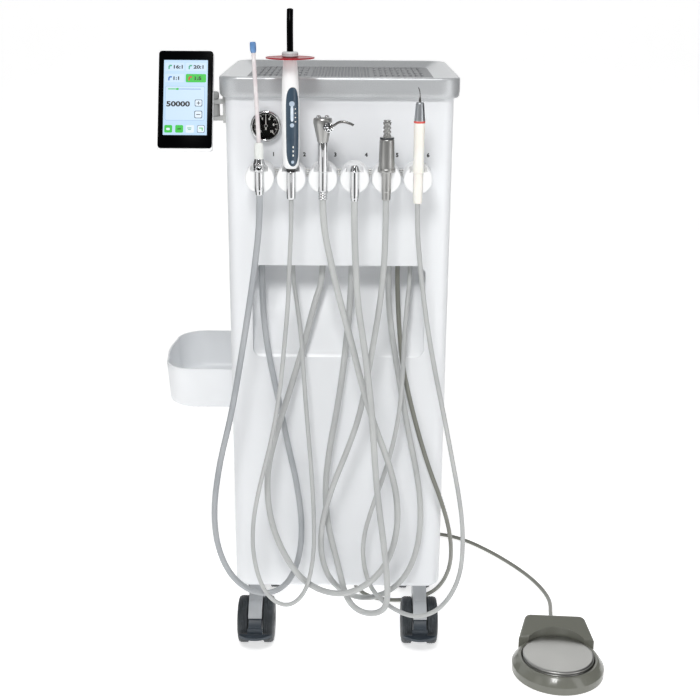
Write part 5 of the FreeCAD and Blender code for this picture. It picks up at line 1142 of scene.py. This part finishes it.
def instrument_icon(x, y):
    """Tiles of a small instrument: a handle with its head, at a place on the lit area."""
    return [
        (x + 0.01, y + 0.022, 0.032, 0.046, 3, 0.6),
        (x + 0.03, y + 0.008, 0.065, 0.020, 3, 0.6),
        (x + 0.03, y + 0.02, 0.02, 0.02, 3, 0.4),
    ]


# Tiles by colour: left, top, width and height in shares of the lit area, the layer, and the corners' radius
# where it isn't 1.6.
TILES = {
    "pale_blue": [(0, 0, 1, 1, 0, 0.3)],
    "line_blue": [(0.04, 0.349, 0.9, 0.458, 1, 2.2)],
    "white_blue": [
        (0.03, 0.034, 0.43, 0.111, 1), (0.50, 0.034, 0.465, 0.111, 1), (0.03, 0.186, 0.43, 0.112, 1),
        (0.047, 0.353, 0.886, 0.450, 2, 2.0),
    ],
    "slate": [(0.716, 0.527, 0.171, 0.092, 3), (0.71, 0.676, 0.18, 0.1, 3), (0.779, 0.868, 0.172, 0.101, 1)],
    "white": [
        (0.729, 0.5345, 0.145, 0.077, 4), (0.724, 0.684, 0.152, 0.084, 4), (0.521, 0.868, 0.189, 0.101, 1),
        (0.789, 0.8737, 0.152, 0.0897, 2), (0.075, 0.905, 0.085, 0.032, 3),
    ],
    "green": [
        (0.50, 0.186, 0.465, 0.112, 1), (0.032, 0.868, 0.18, 0.101, 1), (0.281, 0.868, 0.18, 0.101, 1),
        (0.10, 0.381, 0.22, 0.013, 3, 0.5), (0.285, 0.374, 0.06, 0.027, 4, 1.6),
        (0.82, 0.90, 0.09, 0.012, 3, 0.4), (0.885, 0.90, 0.022, 0.042, 3, 0.4),
    ],
    "teal": instrument_icon(0.09, 0.056) + instrument_icon(0.55, 0.056)
    + [(0.55, 0.90, 0.10, 0.012, 3, 0.4), (0.57, 0.922, 0.07, 0.010, 3, 0.4)],
    "mid_blue": instrument_icon(0.09, 0.208) + [(0.32, 0.384, 0.53, 0.007, 3, 0.3)],
    "red": instrument_icon(0.55, 0.208),
    "near_black": [
        (0.757, 0.5685, 0.089, 0.010, 5, 0.3), (0.793, 0.5495, 0.017, 0.047, 5, 0.3),
        (0.752, 0.7215, 0.096, 0.010, 5, 0.3), (0.33, 0.913, 0.085, 0.012, 3, 0.3),
    ],
}
# The figures, each with its middle in shares of the lit area and its height.
FIGURES = [
    ("16:1", 0.325, 0.094, 4.7), ("20:1", 0.80, 0.094, 4.7), ("1:1", 0.285, 0.246, 4.7),
    ("1:5", 0.77, 0.246, 4.7), ("50000", 0.335, 0.590, 6.9),
]


def screen_matrix():
    """From the screen's own plane, with x right, y up and z out of the glass, to the frame."""
    out = Vector((0, -math.cos(SCREEN_LEAN), math.sin(SCREEN_LEAN)))
    up = Vector((0, math.sin(SCREEN_LEAN), math.cos(SCREEN_LEAN)))
    turn = Matrix((X_AXIS, up, out)).transposed().to_4x4()
    return shift(middle("display_glass") + out * 0.9 * MM) @ turn


def on_screen(x, y, z):
    """A place on the glass from shares of the lit area."""
    return Vector(((x - 0.5) * LCD_W, (0.5 - y) * LCD_H + LCD_UP, z))


def add_tile(made, x, y, w, h, level, radius=1.6):
    """A thin rounded tile."""
    width, height = w * LCD_W, h * LCD_H
    corner = min(radius * MM, 0.45 * width, 0.45 * height)
    top = on_screen(x + w / 2, y + h / 2, TILE_THICK + level * LAYER)
    levels = (top - Z_AXIS * TILE_THICK, top)
    loft([round_rect(width, height, corner, at, 5) for at in levels], made=made)


def display():
    matrix = screen_matrix()
    softened_node("display_case", 0.8, "white", "white_plastic", segments=3)
    softened_node("display_bracket", 0.8, "grey", "grey_plastic")
    softened_node("display_arm", 0.8, "grey", "grey_plastic")
    glass = finished_mesh(slab(GLASS_W, GLASS_H, 4.2, -1.8, 0, 0.35), "display_window")
    add_piece(
        "display_window", placed(glass, matrix), "black_glass", "display", "display_glass", "display_glass"
    )
    screen = []
    for colour, items in TILES.items():
        made = bmesh.new()
        for item in items:
            add_tile(made, *item)
        screen.append(finished_in(finished_mesh(made, colour), "lit_" + colour))
    for text, x, y, size in FIGURES:
        figure = lettered(text, size, "lit_near_black", 0.03, bold=FIGURE_BOLD * size)
        screen.append(placed(figure, shift(on_screen(x, y, 0.17 * MM)) @ WIDENED))
    figures = placed(joined("display_figures", screen), matrix)
    add_piece("display_figures", figures, None, "display", "display_glass")


# ---------------------------------------------------------------- instruments
def turned_part(name, profile, hose, finish, body, slot, *nodes, steps=64, soft=0.35):
    """A piece turned about the upright axis of a hose's instrument; its heights are over the floor."""
    add_piece(name, lathe(profile, axis_of(hose), steps=steps, soft=soft), finish, body, slot, *nodes)


def bent_tube(name, points, radius, finish, body, slot, *nodes):
    """A round tube along a smooth line."""
    mesh = round_tube(smooth_line(name, points, 12), radius * MM, 6, finish)
    add_piece(name, mesh, None, body, slot, *nodes)


def holders():
    softened_node("instrument_holders", 0.5, "white", "white_plastic", segments=3)


def ejector():
    hose, body = "ejector_hose", "ejector"
    valve = [
        (0, 697), (4.6, 697), (4.9, 698), (5.3, 702.5), (5.6, 704), (6, 709), (6, 726.8), (6.4, 727.2),
        (7.3, 728), (7.4, 730.2), (7.0, 731), (7.4, 732), (7.4, 738), (6.4, 740.6), (6.1, 743), (0, 743),
    ]
    turned_part("ejector_valve_body", valve, hose, "chrome", body, "chrome", "ejector_body")
    grip = [
        (0, 742.5), (5.4, 742.5), (5.7, 743.4), (5.7, 752), (5.5, 760.5), (5.0, 762.2), (4.4, 763),
        (2.9, 763.2), (2.9, 758), (0, 758),
    ]
    turned_part("ejector_grip", grip, hose, "pale_grip", body, "clear_tube")
    softened_node("ejector_valve", 0.3, "chrome", "chrome", segments=3)
    saliva_tube()


TUBE_BEND_Z = 768
TUBE_LEAN = Vector((-5.5, 2, 116)) * MM     # from the bend to the tube's top


def saliva_tube():
    foot = axis_of("ejector_hose")
    bend = foot + Z_AXIS * TUBE_BEND_Z * MM
    upright = [foot + Z_AXIS * z * MM for z in (757, 763)]
    leaning = [bend + TUBE_LEAN * share for share in (0, 0.1, 0.5, 0.97)]
    bent_tube("saliva_tube", upright + leaning, 2.65, "tube", "ejector", "clear_tube", "ejector_tube")
    profile = [
        (0, -0.5), (3.0, -0.5), (3.6, 1.2), (3.9, 3), (3.9, 10.4), (3.6, 11.8), (2.6, 12.8), (1.6, 12.4),
        (1.5, 11), (0, 11),
    ]
    tip = lathe(profile, bend + TUBE_LEAN * 0.9, TUBE_LEAN, steps=40, soft=0.4)
    add_piece("saliva_tube_tip", tip, "tube_tip", "ejector", "clear_tube")


CURING_HANDLE = [
    (7.0, 731.5), (9.6, 735), (10.6, 745), (11.0, 775), (11.0, 815), (10.2, 838), (8.8, 858), (8.0, 866),
]
GUIDE_LINE = [(0, 873), (0, 884), (0, 895), (0, 904), (2.0, 913), (7.0, 923)]     # (back, height)


def curing_light():
    hose, body = "curing_light_cable", "curing_light"
    sleeve = [
        (0, 692), (5.0, 692), (5.5, 692.8), (6, 695), (6, 726.4), (5.8, 727.2), (5.4, 727.2), (5.2, 726.6),
        (5.2, 722), (0, 722),
    ]
    turned_part("curing_light_sleeve", sleeve, hose, "chrome", body, "satin_metal", "curing_light_body")
    joint = [(0, 721.5), (4.6, 721.5), (5.0, 724), (5.0, 727.6), (5.8, 728.4), (6.0, 731.8), (0, 731.8)]
    turned_part("curing_light_joint", joint, hose, "black", body, "black_plastic")
    handle = [(0, 731.2), (6.4, 731.2), *CURING_HANDLE, (4.4, 866), (4.4, 855), (0, 855)]
    turned_part("curing_light_handle", handle, hose, "white", body, "white_plastic", soft=1.6)
    keypad()
    softened_node("curing_light_button", 0.4, "pale_key", "blue_key", segments=3)
    collar = [
        (0, 857), (4.1, 857), (4.1, 867.3), (9.2, 867.3), (10.1, 868.5), (10.2, 869.4), (9.9, 870),
        (10.2, 870.6), (10.1, 872.2), (9.2, 873.7), (8.6, 874), (0, 874),
    ]
    body = "light_guide"
    turned_part("light_guide_collar", collar, hose, "pale_grey", body, "white_plastic", soft=0.4)
    points = [axis_of(hose) + Vector((0, back, z)) * MM for back, z in GUIDE_LINE]
    bent_tube("light_guide_rod", points, 4.0, "black_glass", body, "black_plastic", "curing_light_guide")
    shield = [
        (4.3, 866.05), (28.4, 866.05), (29.6, 865.7), (30.3, 866.6), (29.6, 867.5), (28.4, 867.15),
        (4.3, 867.15), (4.3, 866.05),
    ]
    turned_part(
        "glare_shield", shield, hose, "shield", body, "red_shield", "curing_light_shield", steps=96, soft=0.3
    )


# Patches of the keypad: heights, half angle and turn from the front in degrees, lift, finish, and how square
# the ends are. First the panel, the slot, the lamp and the dot, then marks beside the slot and over the dot.
PATCHES = [
    (735, 832, 46, 18, 0.25, "keypad", 6),
    (790.5, 809.5, 9, 12, 0.42, "lit_key", 6),
    (783.5, 788.5, 13, 12, 0.46, "pale_key", 2),
    (738.5, 742.5, 10, 15, 0.42, "pale_key", 2),
]
PATCHES += [(789.5 + 5.2 * i, 790.9 + 5.2 * i, 4, 35, 0.36, "white_ink", 4) for i in range(4)]
PATCHES += [(747.5 + 5.2 * i, 750.1 + 5.2 * i, 4, 18, 0.36, "white_ink", 4) for i in range(3)]
PATCH_BLUNT = 1 / 2.2
PATCH_SUNK = 0.2
PATCH_ROWS = 28
PATCH_COLUMNS = 12


def handle_radius(z):
    """Radius of the curing light's handle at a height, both in millimetres."""
    for (r0, z0), (r1, z1) in zip(CURING_HANDLE, CURING_HANDLE[1:]):
        if z <= z1:
            return r0 + (r1 - r0) * (z - z0) / (z1 - z0)


def handle_patch(low, high, half_angle, turn, lift, finish, power):
    """A thin rounded patch on the handle between two heights, its angles measured from the front."""
    foot = axis_of("curing_light_cable")
    made = bmesh.new()
    front, rear = [], []
    for grid, depth in ((front, lift), (rear, -PATCH_SUNK)):
        for i in range(PATCH_ROWS + 1):
            share = 0.5 - 0.5 * math.cos(math.pi * i / PATCH_ROWS)
            z = low + (high - low) * share
            wide = (1 - abs(2 * share - 1) ** power) ** PATCH_BLUNT if 0 < i < PATCH_ROWS else 0.0
            r = handle_radius(z) + depth
            line = []
            for k in range(PATCH_COLUMNS + 1):
                angle = math.radians(turn + half_angle * wide * (2 * k / PATCH_COLUMNS - 1))
                out = Vector((r * math.sin(angle), -r * math.cos(angle), z))
                line.append(made.verts.new(foot + out * MM))
            grid.append(line)
    for i in range(PATCH_ROWS):
        for k in range(PATCH_COLUMNS):
            made.faces.new((front[i][k], front[i][k + 1], front[i + 1][k + 1], front[i + 1][k]))
            made.faces.new((rear[i][k], rear[i + 1][k], rear[i + 1][k + 1], rear[i][k + 1]))
        for k in (0, PATCH_COLUMNS):
            made.faces.new((front[i][k], front[i + 1][k], rear[i + 1][k], rear[i][k]))
    return finished_in(finished_mesh(made, "patch", sharp=50), finish)


def keypad():
    """The slate-blue panel on the handle, with a pale slot and lamp, and small marks."""
    parts = [handle_patch(*patch) for patch in PATCHES]
    add_piece("keypad_panel", joined("keypad_panel", parts), None, "curing_light", "blue_key")


NOZZLE_TURN = math.radians(-60)     # which way the syringe's nozzle points


def syringe():
    hose, body = "syringe_hose", "syringe"
    rings = repeated([(5.9, 0), (5.9, 1.7), (5.2, 2.2), (5.2, 3.0)], 3, 692.6, 3.4)
    sleeve = [(6, 703.5), (6, 726.8), (6.3, 727.3), (6.3, 763.2), (5.8, 764.6), (0, 764.6)]
    handle = [(0, 692), (5.2, 692)] + rings + sleeve
    turned_part("syringe_handle", handle, hose, "chrome", body, "satin_metal", "syringe_body")
    head = [(0, 764), (6.4, 764), (6.9, 764.8), (9.2, 776), (11.8, 788), (11.8, 792), (10.8, 794), (0, 794)]
    turned_part("syringe_head", head, hose, "satin", body, "satin_metal", soft=0.5)
    for side in ("air", "water"):
        softened_node("syringe_%s_button" % side, 0.4, "chrome", "blue_key", segments=3)
    nozzle()


def nozzle():
    """The bent tube of the syringe, with the knurled nut that holds it."""
    body = BODY_OF["syringe_nozzle"]
    out = Vector((math.cos(NOZZLE_TURN), math.sin(NOZZLE_TURN), 0))
    seat = axis_of("syringe_hose") + (Z_AXIS * 784 + out * 9.6) * MM
    rise = seat + (out * 13 + Z_AXIS) * MM
    top = rise + Vector((13, -2.5, 10)) * MM
    line = [seat + out * 5 * MM, rise, top, top + Vector((14, -1, -7)) * MM]
    bent_tube("nozzle_tube", line, 1.55, "steel_tube", body, "chrome", "syringe_nozzle")
    profile = [(0, 0), (5, 0), (5, 3.0), (5.6, 3.2), (5.6, 6.6), (4.4, 7.9), (0, 8)]
    add_piece("nozzle_nut", lathe(profile, seat, out, steps=48), "nylon", body, "chrome")
    turn = Z_AXIS.rotation_difference(out).to_matrix().to_4x4()
    parts = []
    for count, radius, along, size in ((12, 5.6, 5.0, (1.2, 1.5, 3.2)), (7, 3.4, 7.7, (2.6, 1.1, 0.8))):
        bars = grown(
            RING, "chrome", Count=count, Radius=radius * MM, First_angle=0.0, Step_angle=2 * math.pi / count,
            Bar_size=tuple(s * MM for s in size),
        )
        parts.append(placed(bars, shift(seat + out * along * MM) @ turn))
    add_piece("nozzle_knurl", joined("nozzle_knurl", parts), None, body, "chrome")


def coupling():
    sleeve = [
        (0, 690), (4.6, 690), (5.0, 690.6), (5.1, 693.2), (5.5, 694), (5.8, 698), (6, 704), (6, 727.1),
        (6.3, 727.4), (6.4, 728.4), (6.0, 729.2), (4.8, 733.6), (4.4, 734.8), (3.6, 735), (3.4, 734.6),
        (3.4, 728.6), (0, 728.5),
    ]
    turned_part(
        "coupling_sleeve", sleeve, "high_speed_hose", "chrome", "high_speed", "chrome", "high_speed_coupling"
    )


def motor():
    hose, body = "motor_hose", "motor"
    case = [
        (0, 692), (5.0, 692), (5.5, 693), (5.6, 702), (6, 703), (6, 726.9), (10.2, 727.3), (10.6, 728.4),
        (10.6, 731), (10.1, 732), (10.0, 740), (9.3, 767.6), (8.8, 768.4), (8.4, 768.6), (8.4, 771),
        (4.9, 771.1),
    ]
    case += repeated([(4.9, 0), (4.9, 2.7), (3.7, 3.2), (3.7, 4.4)], 4, 771.2, 5.0)
    case += [(4.9, 791.2), (4.5, 791.8), (3.8, 792), (0, 792)]
    turned_part("motor_case", case, hose, "satin", body, "satin_metal", "air_motor", soft=0.25)
    ring = [(8.2, 768.5), (8.9, 768.7), (9.1, 769.4), (8.9, 770.6), (8.2, 770.9), (8.2, 768.5)]
    turned_part("motor_ring", ring, hose, "nylon", body, "black_plastic", soft=0.2)
    at = axis_of(hose) + Z_AXIS * 788.5 * MM
    pin = lathe([(0, -5.4), (0.9, -5.2), (0.9, 5.2), (0, 5.4)], at, X_AXIS, steps=16)
    add_piece("bayonet_pin", pin, "chrome", body, "satin_metal")


def scaler():
    hose, body = "scaler_hose", "scaler"
    grip = [
        (0, 688), (5.0, 688), (5.3, 688.8), (5.6, 691), (5.8, 704), (5.8, 726.5), (6.8, 727.2),
        (7.0, 728.2), (6.8, 730), (6.6, 745), (6.7, 768), (7.0, 784), (7.0, 788.8), (0, 788.8),
    ]
    turned_part("scaler_grip", grip, hose, "ivory", body, "ivory_plastic", "scaler_body")
    ring = [(6.6, 788.5), (7.2, 788.9), (7.2, 790.7), (6.9, 791.2), (0, 791.2), (0, 788.5), (6.6, 788.5)]
    turned_part("scaler_ring", ring, hose, "red_ring", body, "red_shield", soft=0.2)
    cone = [(0, 791), (6.8, 791), (6.9, 792), (6.4, 798), (5.3, 811), (4.9, 813.2), (4.3, 814), (0, 814)]
    turned_part("scaler_cone", cone, hose, "aluminium", body, "grey_plastic")
    softened_node("scaler_tip", 0.15, "steel_tube", "chrome")


# ---------------------------------------------------------------- the whole
set_camera()
studio_floor()
studio_light()
black_cards()
FINISH = make_finishes()
RING = bars_in_a_ring()
STUDS = studs_on_a_grid()
make_hoses()
cabinet()
inside()
tray()
cup()
casters()
foot_control()
gauge()
display()
holders()
ejector()
curing_light()
syringe()
coupling()
motor()
scaler()
